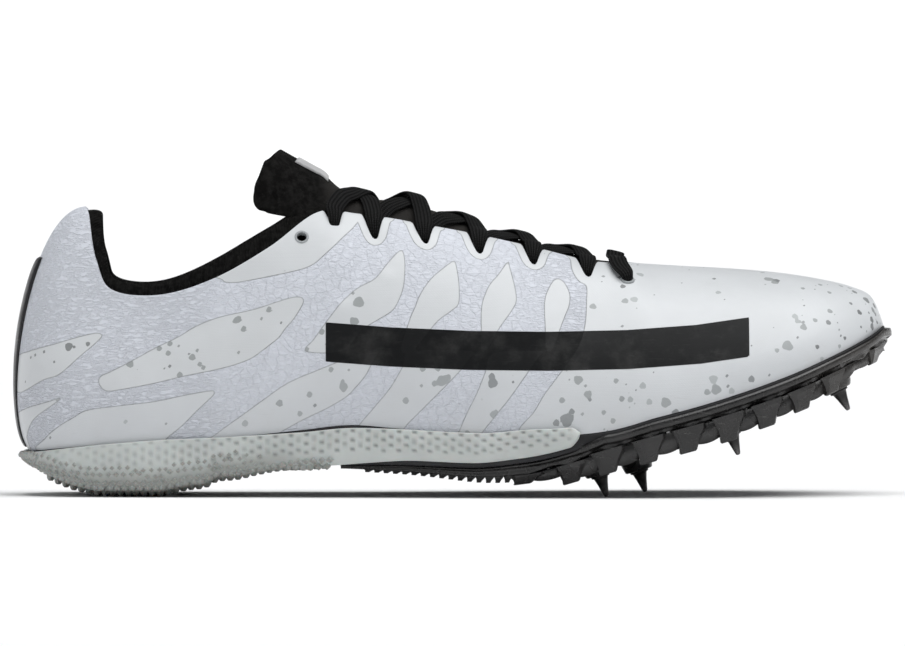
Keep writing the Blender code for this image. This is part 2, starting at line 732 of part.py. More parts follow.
def make_heel_strip(collection):
    """The black strip up the back of the heel."""
    rows = [[], []]
    for k in range(8):
        t = 0.03 + 0.66 * k / 7
        span = STRIP_WIDTH / 4 / np.linalg.norm(upper_point(0.5, t) - upper_point(0.0, t))
        line = []
        for side in (-1.0, -0.5, 0.0, 0.5, 1.0):
            s = -side * span
            line.append((upper_point(s % LOOP, t), upper_normal(s % LOOP, t), abs(side)))
        rows[0].append([p + n * GAP for p, n, _ in line])
        rows[1].append([p + n * (GAP + STRIP_THICKNESS * (1 - 0.4 * edge)) for p, n, edge in line])
    return solid_loft("heel_strip", covered(rows[0], rows[1]), collection)


# Rise of the tongue over the throat's edge, by section, in shares of UPPER_HEIGHT.
CROWN = (
    (7.0, 0.160), (7.65, 0.082), (8.1, 0.056), (8.5, 0.069), (9.0, 0.054), (9.25, 0.037), (9.75, 0.013),
    (10.6, 0.009), (12.0, 0.0),
)
# The free end of the tongue, from the instep (0) to its top (1): half width in shares of the width,
# and how far its edges hang below the middle, in shares of UPPER_HEIGHT.
TONGUE_HALF = ((0.35, 0.325), (0.7, 0.37), (0.92, 0.345), (1.0, 0.22))
TONGUE_SAG = ((0.35, 0.25), (0.7, 0.22), (0.92, 0.17), (1.0, 0.05))
TONGUE_FRONT = 13.5
TONGUE_ACROSS = 10


def throat_half(s):
    return np.linalg.norm(loop_controls(s)[3] - loop_controls(LOOP - s)[3]) / 2


def tongue_in_throat(s, v):
    """The tongue's front face under the lacing: between the throat's edges, then inside the upper's wall."""
    open_half = throat_half(s)
    half = max(open_half, TONGUE_RIDGE)
    w = v * (half + TONGUE_FLANK * (1 - 0.75 * blend(-8.0, -7.0, -s)))
    inward = UPPER_WALL + TONGUE_GAP
    if abs(w) >= half:
        return below_edge(side_place(s, w), abs(w) - open_half, inward)
    edges = [below_edge(side_place(s, side), half - open_half, inward) for side in FOOT_SIDES]
    mix = (w / half + 1) / 2
    crown = (smooth_table(CROWN, s) * UPPER_HEIGHT + inward) * (1 - blend(11.4, 12.6, s))
    return edges[0] * (1 - mix) + edges[1] * mix + np.array([0, 0, crown * (1 - (w / half) ** 2)])


def tongue_face(q, v):
    """The tongue's front face: q is 1 at its top, 0 at the instep and below 0 under the lacing."""
    if q <= 0:
        return tongue_in_throat(HEEL_EDGE_END - q, v)
    instep = tongue_in_throat(HEEL_EDGE_END, v)
    foot = tongue_in_throat(HEEL_EDGE_END, 0.0)
    tip = np.array([along(TONGUE_TIP_SHARE), 0.0, HEEL_STACK + UPPER_HEIGHT * TONGUE_RISE])
    run = unit(tip - foot)
    front = np.array([-run[2], 0.0, run[0]]) * -1
    first = TONGUE_HALF[0][0]
    p = max(q, first)
    centre = foot + (tip - foot) * p
    half = smooth_table(TONGUE_HALF, p) * width_at(TONGUE_TIP_SHARE)
    sag = smooth_table(TONGUE_SAG, p) * UPPER_HEIGHT
    free = centre + np.array([0, half * math.sin(v * 1.25) / math.sin(1.25), 0])
    free = free - front * sag * v * v + run * TONGUE_SKEW * v * v
    if q >= first:
        return free
    low = foot + (tip - foot) * (q - first)
    mix = blend(0.0, first, q)
    return (instep + (tip - foot) * q) * (1 - mix) + (free + low - foot) * mix


def tongue_normal(q, v):
    step = 0.02
    dq = tongue_face(q + step, v) - tongue_face(q - step, v)
    dv = tongue_face(q, v + step) - tongue_face(q, v - step)
    return unit(np.cross(dv, dq))


def make_tongue(collection):
    places = steps_between(HEEL_EDGE_END - TONGUE_FRONT, 0.0, 13) + [0.18, 0.35, 0.60, 0.85, 1.0]
    across_places = [2 * k / TONGUE_ACROSS - 1 for k in range(TONGUE_ACROSS + 1)]
    front, back = [], []
    for q in places:
        thickness = TONGUE_THICKNESS * (0.45 if q == 1.0 else 1.0)
        front.append([tongue_face(q, v) for v in across_places])
        back.append([
            tongue_face(q, v) - tongue_normal(min(q, 0.98), v) * thickness * (1 - 0.5 * v**6)
            for v in across_places
        ])
    return solid_loft("tongue", covered(front, back), collection)


def make_patch(collection):
    """The plain grey patch on the front of the tongue."""
    inside, outside = [], []
    for q in steps_between(PATCH_FROM, PATCH_TO, 4):
        line = [(tongue_face(q, v), tongue_normal(q, v)) for v in (-0.42, -0.21, 0.0, 0.21, 0.42)]
        inside.append([p + n * GAP for p, n in line])
        outside.append([p + n * (GAP + PATCH_THICKNESS) for p, n in line])
    return solid_loft("tongue_patch", covered(inside, outside), collection)


def lace_strand(name, start, end, lift, collection):
    """A flat strand at a height over the tongue. Start and end are pairs of place and side."""
    path, normals = [], []
    for k in range(LACE_STEPS + 1):
        mix = k / LACE_STEPS
        s = start[0] + (end[0] - start[0]) * mix
        reach = throat_half(s) - LACE_EDGE
        total = throat_half(s) + TONGUE_FLANK
        v = (start[1] + (end[1] - start[1]) * mix) * reach / total
        q = HEEL_EDGE_END - s
        normal = tongue_normal(q, v)
        path.append(tongue_face(q, v) + normal * (lift + LACE_THICKNESS / 2))
        normals.append(normal)
    rows = []
    for k, (point, normal) in enumerate(zip(path, normals)):
        run = unit(path[min(k + 1, LACE_STEPS)] - path[max(k - 1, 0)])
        side = unit(np.cross(run, normal)) * LACE_WIDTH / 2
        up = normal * LACE_THICKNESS / 2
        rows.append([point - side - up, point + side - up, point + side + up, point - side + up])
    return solid_loft(name, rows, collection)


def make_laces(collection):
    """A crossing between each two pairs of notches, and a straight bar at the front."""
    places = [throat_place(share) for share in (TOP_NOTCH,) + NOTCHES + (FRONT_HOLE,)]
    for k, (back, front) in enumerate(zip(places, places[1:-1]), 1):
        trim = (front - back) * LACE_TRIM
        back, front = back + trim, front - trim
        strand = lace_strand(f"lace_crossing_{k}", (back, -1), (front, 1), LACE_LIFT, collection)
        other = lace_strand("other_strand", (back, 1), (front, -1), LACE_LIFT + LACE_OVER, collection)
        boolean(strand, other, "UNION")
    bar = places[-1] - LACE_BAR_BACK
    lace_strand("lace_bar", (bar, -1), (bar, 1), LACE_LIFT, collection)


FINISHES = {
    "upper": ("coated mesh", (0.72, 0.75, 0.78), 0.6),
    "collar_roll": ("black fabric", (0.015, 0.015, 0.017), 0.9),
    "tongue": ("black fabric", (0.015, 0.015, 0.017), 0.9),
    "tongue_patch": ("grey film", (0.45, 0.45, 0.45), 0.6),
    "heel_strip": ("black film", (0.01, 0.01, 0.011), 0.5),
    "insole": ("foam sheet", (0.06, 0.06, 0.065), 0.9),
    "midsole_foam": ("black foam", (0.02, 0.02, 0.022), 0.8),
    "heel_cup": ("grey rubber", (0.50, 0.52, 0.50), 0.45),
    "spike_plate": ("black plastic", (0.012, 0.012, 0.013), 0.3),
    "spike": ("black steel", (0.02, 0.02, 0.022), 0.35, 0.6),
    "lace": ("black cord", (0.012, 0.012, 0.013), 0.85),
}


def finish(name, colour, roughness, metallic=0.0):
    material = bpy.data.materials.get(name) or bpy.data.materials.new(name)
    material.use_nodes = True
    shader = material.node_tree.nodes["Principled BSDF"]
    shader.inputs["Base Color"].default_value = (*colour, 1.0)
    shader.inputs["Roughness"].default_value = roughness
    shader.inputs["Metallic"].default_value = metallic
    return material


def main():
    for old in list(bpy.data.objects):
        bpy.data.objects.remove(old)
    shoe = bpy.data.collections.new("track_spike_shoe")
    bpy.context.scene.collection.children.link(shoe)
    make_upper(shoe)
    make_insole(shoe)
    make_core(shoe)
    make_cup(shoe)
    make_plate(shoe)
    for row in SPIKES:
        make_spike(row, shoe)
    make_collar(shoe)
    make_heel_strip(shoe)
    make_tongue(shoe)
    make_patch(shoe)
    make_laces(shoe)
    for made in shoe.objects:
        key = made.name if made.name in FINISHES else made.name.split("_")[0]
        made.data.materials.clear()
        made.data.materials.append(finish(*FINISHES[key]))


if __name__ == "__main__":
    main()
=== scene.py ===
"""Looks of a track spike shoe for the right foot, laid out as a Blender add-on and run as a script.

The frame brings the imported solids. Each piece that shows is built again here with its real surface,
from the same table of sections as the solids: metres, +Z up, toe towards +X, inner side at +Y.
"""

import math

import bmesh
import bpy
import numpy as np
from bpy.props import FloatProperty, FloatVectorProperty, IntProperty, PointerProperty
from mathutils import Matrix, Vector


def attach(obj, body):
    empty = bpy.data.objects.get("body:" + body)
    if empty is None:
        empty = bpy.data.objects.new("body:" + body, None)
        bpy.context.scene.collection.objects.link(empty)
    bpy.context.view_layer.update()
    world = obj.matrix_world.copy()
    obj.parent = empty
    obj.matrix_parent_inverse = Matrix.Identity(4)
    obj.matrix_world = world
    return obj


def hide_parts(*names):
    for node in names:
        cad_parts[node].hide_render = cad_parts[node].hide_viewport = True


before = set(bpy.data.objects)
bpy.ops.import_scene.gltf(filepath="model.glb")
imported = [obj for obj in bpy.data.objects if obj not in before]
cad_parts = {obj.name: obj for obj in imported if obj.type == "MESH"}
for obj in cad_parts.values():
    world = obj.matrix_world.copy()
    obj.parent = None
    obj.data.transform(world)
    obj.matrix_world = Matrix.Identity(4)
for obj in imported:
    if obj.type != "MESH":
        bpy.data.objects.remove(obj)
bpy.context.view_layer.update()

bl_info = {
    "name": "Track spike shoe",
    "version": (1, 0, 0),
    "blender": (4, 5, 0),
    "location": "View3D > Sidebar > Spike shoe",
    "description": "Builds the visible pieces of a track spike shoe over its solids",
    "category": "Add Mesh",
}

# Sizes that the solids have.
SHOE_LENGTH = 0.280
HEEL_WIDTH = 0.061
BALL_WIDTH = 0.0915
HEEL_STACK = 0.0143
UPPER_HEIGHT = 0.078
TOE_LIFT = 0.0331
ORIGIN_SHARE = 0.144
GAP = 0.0003
UPPER_WALL = 0.0018
INSOLE_THICKNESS = 0.003
TONGUE_THICKNESS = 0.003
FOREFOOT_FOAM = 0.0026
CUP_WALL = 0.0016
CUP_RIM = CUP_WALL + GAP
PLATE_THICKNESS = 0.004
PLATE_RIM = 0.0013
LUG_DEPTH = 0.0078
INSOLE_GAP = 0.0010
INSOLE_TOE_GAP = 0.0080
TONGUE_GAP = 0.0008
TONGUE_FLANK = 0.0110
TONGUE_SKEW = 0.0025
TONGUE_RIDGE = 0.004
TONGUE_TIP_SHARE = 0.3017
TONGUE_RISE = 1.24
PATCH_THICKNESS = 0.0006
PATCH_FROM = -0.32
PATCH_TO = 0.52
SPIKE_LENGTH = 0.0064
SPIKE_FLANGE = 0.0008
SPIKE_FLANGE_RADIUS = 0.0030
SPIKE_BASE_RADIUS = 0.0024
SPIKE_TIP_RADIUS = 0.0007
REAR_WELL_DEPTH = 0.0081
FRONT_WELL_DEPTH = 0.0062
BALL_STACK = FOREFOOT_FOAM + GAP + PLATE_THICKNESS + REAR_WELL_DEPTH + SPIKE_LENGTH
NUB_HEIGHT = 0.0014
CUP_FLOOR = 0.0022
CORE_STEP = 0.0018
CUP_BULGE = 0.0006
CUP_TURN = 0.0050
CUP_FLOOR_END = 0.365
CUP_END = 0.646
PLATE_START = 0.372
PLATE_TUCK = 0.0025
WELL_RADIUS = 0.0044
ROLL_HEIGHT = 0.0036
ROLL_DEPTH = 0.012
ROLL_THICKNESS = 0.0034
ROLL_GAP = 0.0011
ROLL_LIFT = 0.0008
STRIP_WIDTH = 0.012
STRIP_THICKNESS = 0.0011
LACE_WIDTH = 0.0058
LACE_THICKNESS = 0.0013
NOTCH_WIDTH = 0.0068
NOTCH_DEPTH = 0.0078
EYELET_RADIUS = 0.0017
EYELET_EDGE = 0.0072
LACE_LIFT = 0.0009
HEEL_EASE = 0.0022

# The section table of the solids: see the columns' names. Lengths are shares of the sizes above.
COLUMNS = (
    "base_x", "outer", "inner", "heel", "ball", "toe", "top_x", "half", "swing", "top",
    "flare", "stand", "lean", "drop",
)
SECTIONS = (
    (0.0155, 0.000, 0.000, 1.00, 0.00, 0.000, 0.0784, 0.000, 0.000, 1.000, 0.169, 0.15, 0.295, 0.02),
    (0.0258, 0.262, 0.254, 1.02, 0.00, 0.000, 0.0841, 0.164, 0.000, 0.969, 0.140, 0.18, 0.240, 0.06),
    (0.0578, 0.418, 0.410, 1.09, 0.00, 0.000, 0.0922, 0.310, 0.000, 0.772, 0.090, 0.22, 0.120, 0.16),
    (0.1105, 0.492, 0.475, 1.19, 0.00, 0.000, 0.1105, 0.405, 0.000, 0.631, 0.060, 0.24, 0.070, 0.20),
    (0.1769, 0.516, 0.484, 1.28, 0.00, 0.000, 0.1654, 0.455, 0.000, 0.591, 0.045, 0.24, 0.050, 0.20),
    (0.2513, 0.533, 0.467, 1.35, 0.00, 0.000, 0.2284, 0.475, 0.000, 0.646, 0.045, 0.25, 0.055, 0.20),
    (0.3257, 0.526, 0.433, 0.90, 0.40, 0.000, 0.2914, 0.426, 0.000, 0.747, 0.045, 0.27, 0.090, 0.18),
    (0.3830, 0.501, 0.402, 0.72, 0.60, 0.000, 0.3463, 0.285, 0.000, 0.867, 0.045, 0.30, 0.150, 0.15),
    (0.4400, 0.480, 0.390, 0.45, 0.73, 0.000, 0.3944, 0.194, 0.000, 0.872, 0.040, 0.30, 0.180, 0.13),
    (0.5200, 0.469, 0.406, 0.20, 0.83, 0.000, 0.4860, 0.143, 0.010, 0.837, 0.035, 0.28, 0.190, 0.100),
    (0.6000, 0.481, 0.448, 0.00, 0.925, 0.000, 0.5776, 0.115, 0.020, 0.779, 0.030, 0.25, 0.200, 0.085),
    (0.6750, 0.497, 0.492, 0.00, 1.00, 0.000, 0.6577, 0.093, 0.030, 0.688, 0.025, 0.22, 0.215, 0.070),
    (0.7320, 0.492, 0.508, 0.00, 1.00, 0.130, 0.6980, 0.064, 0.034, 0.625, 0.025, 0.20, 0.232, 0.050),
    (0.7650, 0.481, 0.514, 0.00, 1.00, 0.202, 0.7190, 0.000, 0.036, 0.588, 0.025, 0.19, 0.285, 0.035),
    (0.8000, 0.464, 0.512, 0.00, 1.00, 0.287, 0.7650, 0.000, 0.042, 0.543, 0.025, 0.18, 0.270, 0.020),
    (0.8450, 0.433, 0.496, 0.00, 1.00, 0.411, 0.8230, 0.000, 0.050, 0.479, 0.025, 0.16, 0.257, 0.010),
    (0.8900, 0.373, 0.461, 0.00, 1.00, 0.550, 0.8780, 0.000, 0.060, 0.402, 0.022, 0.14, 0.232, 0.000),
    (0.9320, 0.273, 0.404, 0.00, 1.00, 0.704, 0.9240, 0.000, 0.070, 0.310, 0.018, 0.115, 0.185, 0.000),
    (0.9645, 0.148, 0.322, 0.00, 1.00, 0.834, 0.9580, 0.000, 0.080, 0.224, 0.014, 0.085, 0.115, 0.00),
    (0.9840, 0.027, 0.219, 0.00, 1.00, 0.925, 0.9805, 0.000, 0.085, 0.142, 0.008, 0.055, 0.060, 0.00),
    (0.9940, -0.087, 0.087, 0.00, 1.00, 0.995, 0.9940, 0.000, 0.087, 0.000, 0.000, 0.00, 0.000, 0.00),
)
LAST = len(SECTIONS) - 1
LOOP = 2 * LAST
HEEL_EDGE_END = 7
FIRST_RIDGE = 13


def smooth(low, high, x):
    """0 below low, 1 above high, and a smooth step between."""
    u = np.clip((np.asarray(x, float) - low) / (high - low), 0.0, 1.0)
    return u * u * (3 - 2 * u)


def along(share):
    return (share - ORIGIN_SHARE) * SHOE_LENGTH


def share_of(x):
    return x / SHOE_LENGTH + ORIGIN_SHARE


def width_at(share):
    return HEEL_WIDTH + (BALL_WIDTH - HEEL_WIDTH) * smooth(0.25, 0.60, share)


def unit(v):
    """Vectors of length 1, along the last axis."""
    v = np.asarray(v, float)
    return v / np.maximum(np.linalg.norm(v, axis=-1, keepdims=True), 1e-12)


def section_edges(row, side):
    """Base and top points of a section: -1 is the outer side of the foot, +1 the inner."""
    r = dict(zip(COLUMNS, row))
    across = width_at(r["base_x"]) * (-r["outer"] if side < 0 else r["inner"])
    height = HEEL_STACK * r["heel"] + BALL_STACK * r["ball"] + TOE_LIFT * r["toe"]
    base = np.array([along(r["base_x"]), across, height])
    over = width_at(r["top_x"]) * (r["swing"] + side * r["half"])
    return base, np.array([along(r["top_x"]), over, height + UPPER_HEIGHT * r["top"]])


def control_loop():
    """Four control points for each row of the closed loop: outer side heel to toe, then inner side back."""
    order = [(i, -1) for i in range(LAST + 1)] + [(i, 1) for i in range(LAST - 1, 0, -1)]
    edges = [section_edges(SECTIONS[i], side) for i, side in order]
    rows = []
    for k, (i, side) in enumerate(order):
        r = dict(zip(COLUMNS, SECTIONS[i]))
        base, top = edges[k]
        before, after = edges[k - 1], edges[(k + 1) % len(edges)]
        run = unit((after[0] - before[0]) * (1, 1, 0))
        out = np.array([run[1], -run[0], 0.0])
        edge = unit((after[1] - before[1]) * (1, 1, 0))
        away = np.array([0.0, side, 0.0]) if i >= HEEL_EDGE_END else np.array([edge[1], -edge[0], 0.0])
        width = width_at(r["base_x"])
        up = np.array([0.0, 0.0, UPPER_HEIGHT])
        low = base + out * width * r["flare"] + up * r["stand"]
        high = top + away * width * r["lean"] - up * r["drop"]
        rows.append((base, low, high, top))
    return np.array(rows)


CONTROL = control_loop()


def cubic(a, b, c, d, f):
    """A smooth curve through four points: f goes from 0 at the second to 1 at the third."""
    return 0.5 * (2 * b + (c - a) * f + (2 * a - 5 * b + 4 * c - d) * f**2 + (3 * b - a - 3 * c + d) * f**3)


def curve_through(s):
    i = np.floor(s).astype(int)
    return cubic(*(CONTROL[(i + k) % LOOP] for k in (-1, 0, 1, 2)), (s - i)[..., None, None])


def controls_at(s):
    """Control points at places s of the loop. In front of the throat both sides share the ridge."""
    s = np.mod(np.asarray(s, float), LOOP)
    found = curve_through(s)
    ridge = ((s >= FIRST_RIDGE) & (s <= LOOP - FIRST_RIDGE))[..., None]
    middle = (found[..., 3, :] + curve_through(LOOP - s)[..., 3, :]) / 2
    found[..., 3, :] = np.where(ridge, middle, found[..., 3, :])
    return found


def upper_at(s, t):
    """Points on the outside of the upper: s runs round the shoe, t from the sole (0) to the edge (1)."""
    c = controls_at(s)
    t = np.asarray(t, float)[..., None]
    return (
        c[..., 0, :] * (1 - t) ** 3 + c[..., 1, :] * 3 * t * (1 - t) ** 2
        + c[..., 2, :] * 3 * t * t * (1 - t) + c[..., 3, :] * t**3
    )


def upper_normal(s, t):
    step = 0.01
    t = np.clip(t, step, 1 - step)
    ds = upper_at(s + step, t) - upper_at(s - step, t)
    dt = upper_at(s, t + step) - upper_at(s, t - step)
    return unit(np.cross(ds, dt))


def wall_length(s):
    s = np.asarray(s, float)
    points = np.stack([upper_at(s, np.full(s.shape, k / 12)) for k in range(13)])
    return np.linalg.norm(np.diff(points, axis=0), axis=-1).sum(axis=0)


def below_edge(s, depth, inward):
    """Points at a depth down the wall from the top edge, moved inward from its outside."""
    s, depth, inward = np.broadcast_arrays(*(np.asarray(v, float) for v in (s, depth, inward)))
    t = 1 - depth / wall_length(s)
    over = (t > 1)[..., None]
    one = np.ones(s.shape)
    up = unit(upper_at(s, one) - upper_at(s, one * 0.97))
    above = upper_at(s, one) - up * depth[..., None] - upper_normal(s, one) * inward[..., None]
    kept = np.clip(t, 0.0, 1.0)
    return np.where(over, above, upper_at(s, kept) - upper_normal(s, kept) * inward[..., None])


def base_at(s, outward=0.0):
    """Points on the edge where the upper meets the sole, moved outward in plan."""
    s = np.asarray(s, float)
    step = 0.02
    run = unit((controls_at(s + step)[..., 0, :] - controls_at(s - step)[..., 0, :]) * (1, 1, 0))
    out = np.stack([run[..., 1], -run[..., 0], np.zeros(s.shape)], axis=-1)
    return controls_at(s)[..., 0, :] + out * np.asarray(outward, float)[..., None]


def smooth_table(rows, x):
    """Smooth values at x from rows of (place, value)."""
    xs, ys = np.array(rows, float).T
    slopes = np.diff(ys) / np.diff(xs)
    a, b = slopes[:-1], slopes[1:]
    same = a * b > 0
    inner = np.where(same, 2 * a * b / np.where(same, a + b, 1.0), 0.0)
    tangents = np.concatenate([slopes[:1], inner, slopes[-1:]])
    x = np.clip(np.asarray(x, float), xs[0], xs[-1])
    i = np.clip(np.searchsorted(xs, x, side="right") - 1, 0, len(xs) - 2)
    h = xs[i + 1] - xs[i]
    u = (x - xs[i]) / h
    return (
        ys[i] * (1 + 2 * u) * (1 - u) ** 2 + ys[i + 1] * u * u * (3 - 2 * u)
        + tangents[i] * h * u * (1 - u) ** 2 + tangents[i + 1] * h * u * u * (u - 1)
    )


JOINT_LINE = [(share_of(row[0][0]), row[0][2]) for row in CONTROL[: LAST + 1]]

# Underside of the sole, from the height of its nubs (0) to the joint with the upper (1).
UNDERSIDE = (
    (0.005, 0.84), (0.028, 0.49), (0.051, 0.25), (0.074, 0.09), (0.1025, 0.0), (0.213, 0.0), (0.234, 0.17),
    (0.280, 0.37), (0.310, 0.42), (0.371, 0.42), (0.460, 0.44), (0.520, 0.43), (0.578, 0.53),
    (0.623, 0.665), (0.660, 0.81), (0.700, 1.0),
)
# Height of the heel cup's rim over the joint, in shares of FOREFOOT_FOAM.
RIM_LAP = (
    (0.0, -0.25), (0.25, -0.10), (0.37, -0.50), (0.45, -0.12), (0.53, 0.0), (0.60, 0.80), (0.635, 0.85),
    (0.646, 0.2),
)
# Slab and lugs of the plate, in shares of PLATE_THICKNESS and LUG_DEPTH.
SLAB = ((0.37, 0.25), (0.45, 0.5), (0.52, 0.7), (0.60, 1.0), (0.70, 0.9), (0.90, 0.85), (0.98, 0.7))
LUGS = (
    (0.37, 0.05), (0.45, 0.15), (0.56, 0.26), (0.61, 0.5), (0.65, 0.85), (0.80, 1.0), (0.90, 0.85),
    (0.98, 0.5),
)


def joint_height(share):
    return smooth_table(JOINT_LINE, share)


def underside(share):
    """Height of the rubber and foam over the floor, without nubs or plate."""
    joint = joint_height(share)
    ease = HEEL_EASE * smooth(0.160, 0.213, share) * (1 - smooth(0.222, 0.262, share))
    level = NUB_HEIGHT + (joint - NUB_HEIGHT) * smooth_table(UNDERSIDE, share) + ease
    return np.minimum(level, joint - FOREFOOT_FOAM)


def plate_top(share):
    return underside(share) - GAP


def plate_bottom(share):
    return plate_top(share) - PLATE_THICKNESS * smooth_table(SLAB, share)


def slope_at(share):
    step = 0.02
    return (plate_bottom(share + step) - plate_bottom(share - step)) / (2 * step * SHOE_LENGTH)


def plate_outward(share):
    return PLATE_RIM - (PLATE_RIM + PLATE_TUCK) * (1 - smooth(CUP_END - 0.03, CUP_END + 0.02, share))


def place_where(share, control, start=0.0, end=float(LAST)):
    """Place on the outer side of the loop where a control point reaches a share of the length."""
    low, high = start, end
    for _ in range(40):
        middle = (low + high) / 2
        if share_of(controls_at(middle)[control][0]) < share:
            low = middle
        else:
            high = middle
    return low


def base_place(share):
    return place_where(share, 0)


def throat_place(share):
    return place_where(share, 3, float(HEEL_EDGE_END) - 2)


def side_place(s, side):
    return np.where(np.asarray(side) < 0, s, LOOP - np.asarray(s))


FOOT_SIDES = (-1, 1)
NOTCHES = (0.4093, 0.4671, 0.5295, 0.5913, 0.6537)
TOP_NOTCH = 0.3646
FRONT_HOLE = 0.6966
SPARE_EYELET = 0.3268
LACE_PLACES = [throat_place(share) for share in (TOP_NOTCH,) + NOTCHES + (FRONT_HOLE,)]

# Tongue: its rise over the throat's edge by section, and the half width and sag of its free end.
CROWN = (
    (7.0, 0.160), (7.65, 0.082), (8.1, 0.056), (8.5, 0.069), (9.0, 0.054), (9.25, 0.037), (9.75, 0.013),
    (10.6, 0.009), (12.0, 0.0),
)
TONGUE_HALF = (
    (0.35, 0.325), (0.5, 0.352), (0.62, 0.366), (0.72, 0.369), (0.80, 0.364), (0.87, 0.350), (0.92, 0.332),
    (0.96, 0.302), (1.0, 0.245),
)
TONGUE_SAG = (
    (0.35, 0.25), (0.5, 0.256), (0.62, 0.250), (0.72, 0.236), (0.80, 0.214), (0.87, 0.186), (0.92, 0.148),
    (0.96, 0.115), (1.0, 0.07),
)
TONGUE_FRONT = 13.5


def throat_half(s):
    outer, inner = controls_at(s)[..., 3, :], controls_at(LOOP - np.asarray(s))[..., 3, :]
    return np.linalg.norm(outer - inner, axis=-1) / 2


def tongue_in_throat(s, v):
    """The tongue's front face under the lacing: between the throat's edges, then inside the wall."""
    s, v = np.broadcast_arrays(np.asarray(s, float), np.asarray(v, float))
    open_half = throat_half(s)
    half = np.maximum(open_half, TONGUE_RIDGE)
    w = v * (half + TONGUE_FLANK * (1 - 0.75 * smooth(-8.0, -7.0, -s)))
    inward = UPPER_WALL + TONGUE_GAP
    flank = below_edge(side_place(s, w), np.abs(w) - open_half, inward)
    left = below_edge(s, half - open_half, inward)
    right = below_edge(LOOP - s, half - open_half, inward)
    mix = ((w / half + 1) / 2)[..., None]
    crown = (smooth_table(CROWN, s) * UPPER_HEIGHT + inward) * (1 - smooth(11.4, 12.6, s))
    middle = left * (1 - mix) + right * mix
    middle[..., 2] += crown * (1 - (w / half) ** 2)
    return np.where((np.abs(w) >= half)[..., None], flank, middle)


def tongue_face(q, v):
    """The tongue's front face: q is 1 at its top, 0 at the instep and below 0 under the lacing."""
    q, v = np.broadcast_arrays(np.asarray(q, float), np.asarray(v, float))
    low = tongue_in_throat(HEEL_EDGE_END - np.minimum(q, 0.0), v)
    foot = tongue_in_throat(float(HEEL_EDGE_END), 0.0)
    tip = np.array([along(TONGUE_TIP_SHARE), 0.0, HEEL_STACK + UPPER_HEIGHT * TONGUE_RISE])
    run = unit(tip - foot)
    front = np.array([run[2], 0.0, -run[0]])
    first = TONGUE_HALF[0][0]
    p = np.maximum(q, first)
    half = smooth_table(TONGUE_HALF, p) * width_at(TONGUE_TIP_SHARE)
    sag = smooth_table(TONGUE_SAG, p) * UPPER_HEIGHT
    free = foot + (tip - foot) * p[..., None]
    free[..., 1] += half * np.sin(v * 1.25) / math.sin(1.25)
    free = free - front * (sag * v * v)[..., None] + run * (TONGUE_SKEW * v * v)[..., None]
    mix = smooth(0.0, first, q)[..., None]
    rise = tip - foot
    between = (low + rise * q[..., None]) * (1 - mix) + (free + rise * (q - p)[..., None]) * mix
    return np.where((q <= 0)[..., None], low, np.where((q >= first)[..., None], free, between))


def tongue_normal(q, v):
    step = 0.02
    dq = tongue_face(q + step, v) - tongue_face(q - step, v)
    dv = tongue_face(q, v + step) - tongue_face(q, v - step)
    return unit(np.cross(dv, dq))


ROLL = (
    (1.0, 0.0), (0.02, 0.0), (0.0, -0.80), (-0.70, -0.55), (-1.0, 0.15), (-0.6, 0.85), (0.25, 1.0),
    (0.75, 0.75), (1.0, 0.3),
)
ROLL_END = 6.5
ROLL_REACH = 7.25
NOTCH_CUT = 0.0128
FRONT_HOLE_EDGE = 0.0140
ARM_CUT = 0.0016
HEEL_ROUND = 0.0016
SPIKES = (
    ("spike_1", 0.676, -0.306, True), ("spike_2", 0.722, 0.273, True), ("spike_3", 0.826, -0.33, False),
    ("spike_4", 0.826, 0.33, False), ("spike_5", 0.953, -0.10, False), ("spike_6", 0.953, 0.25, False),
)


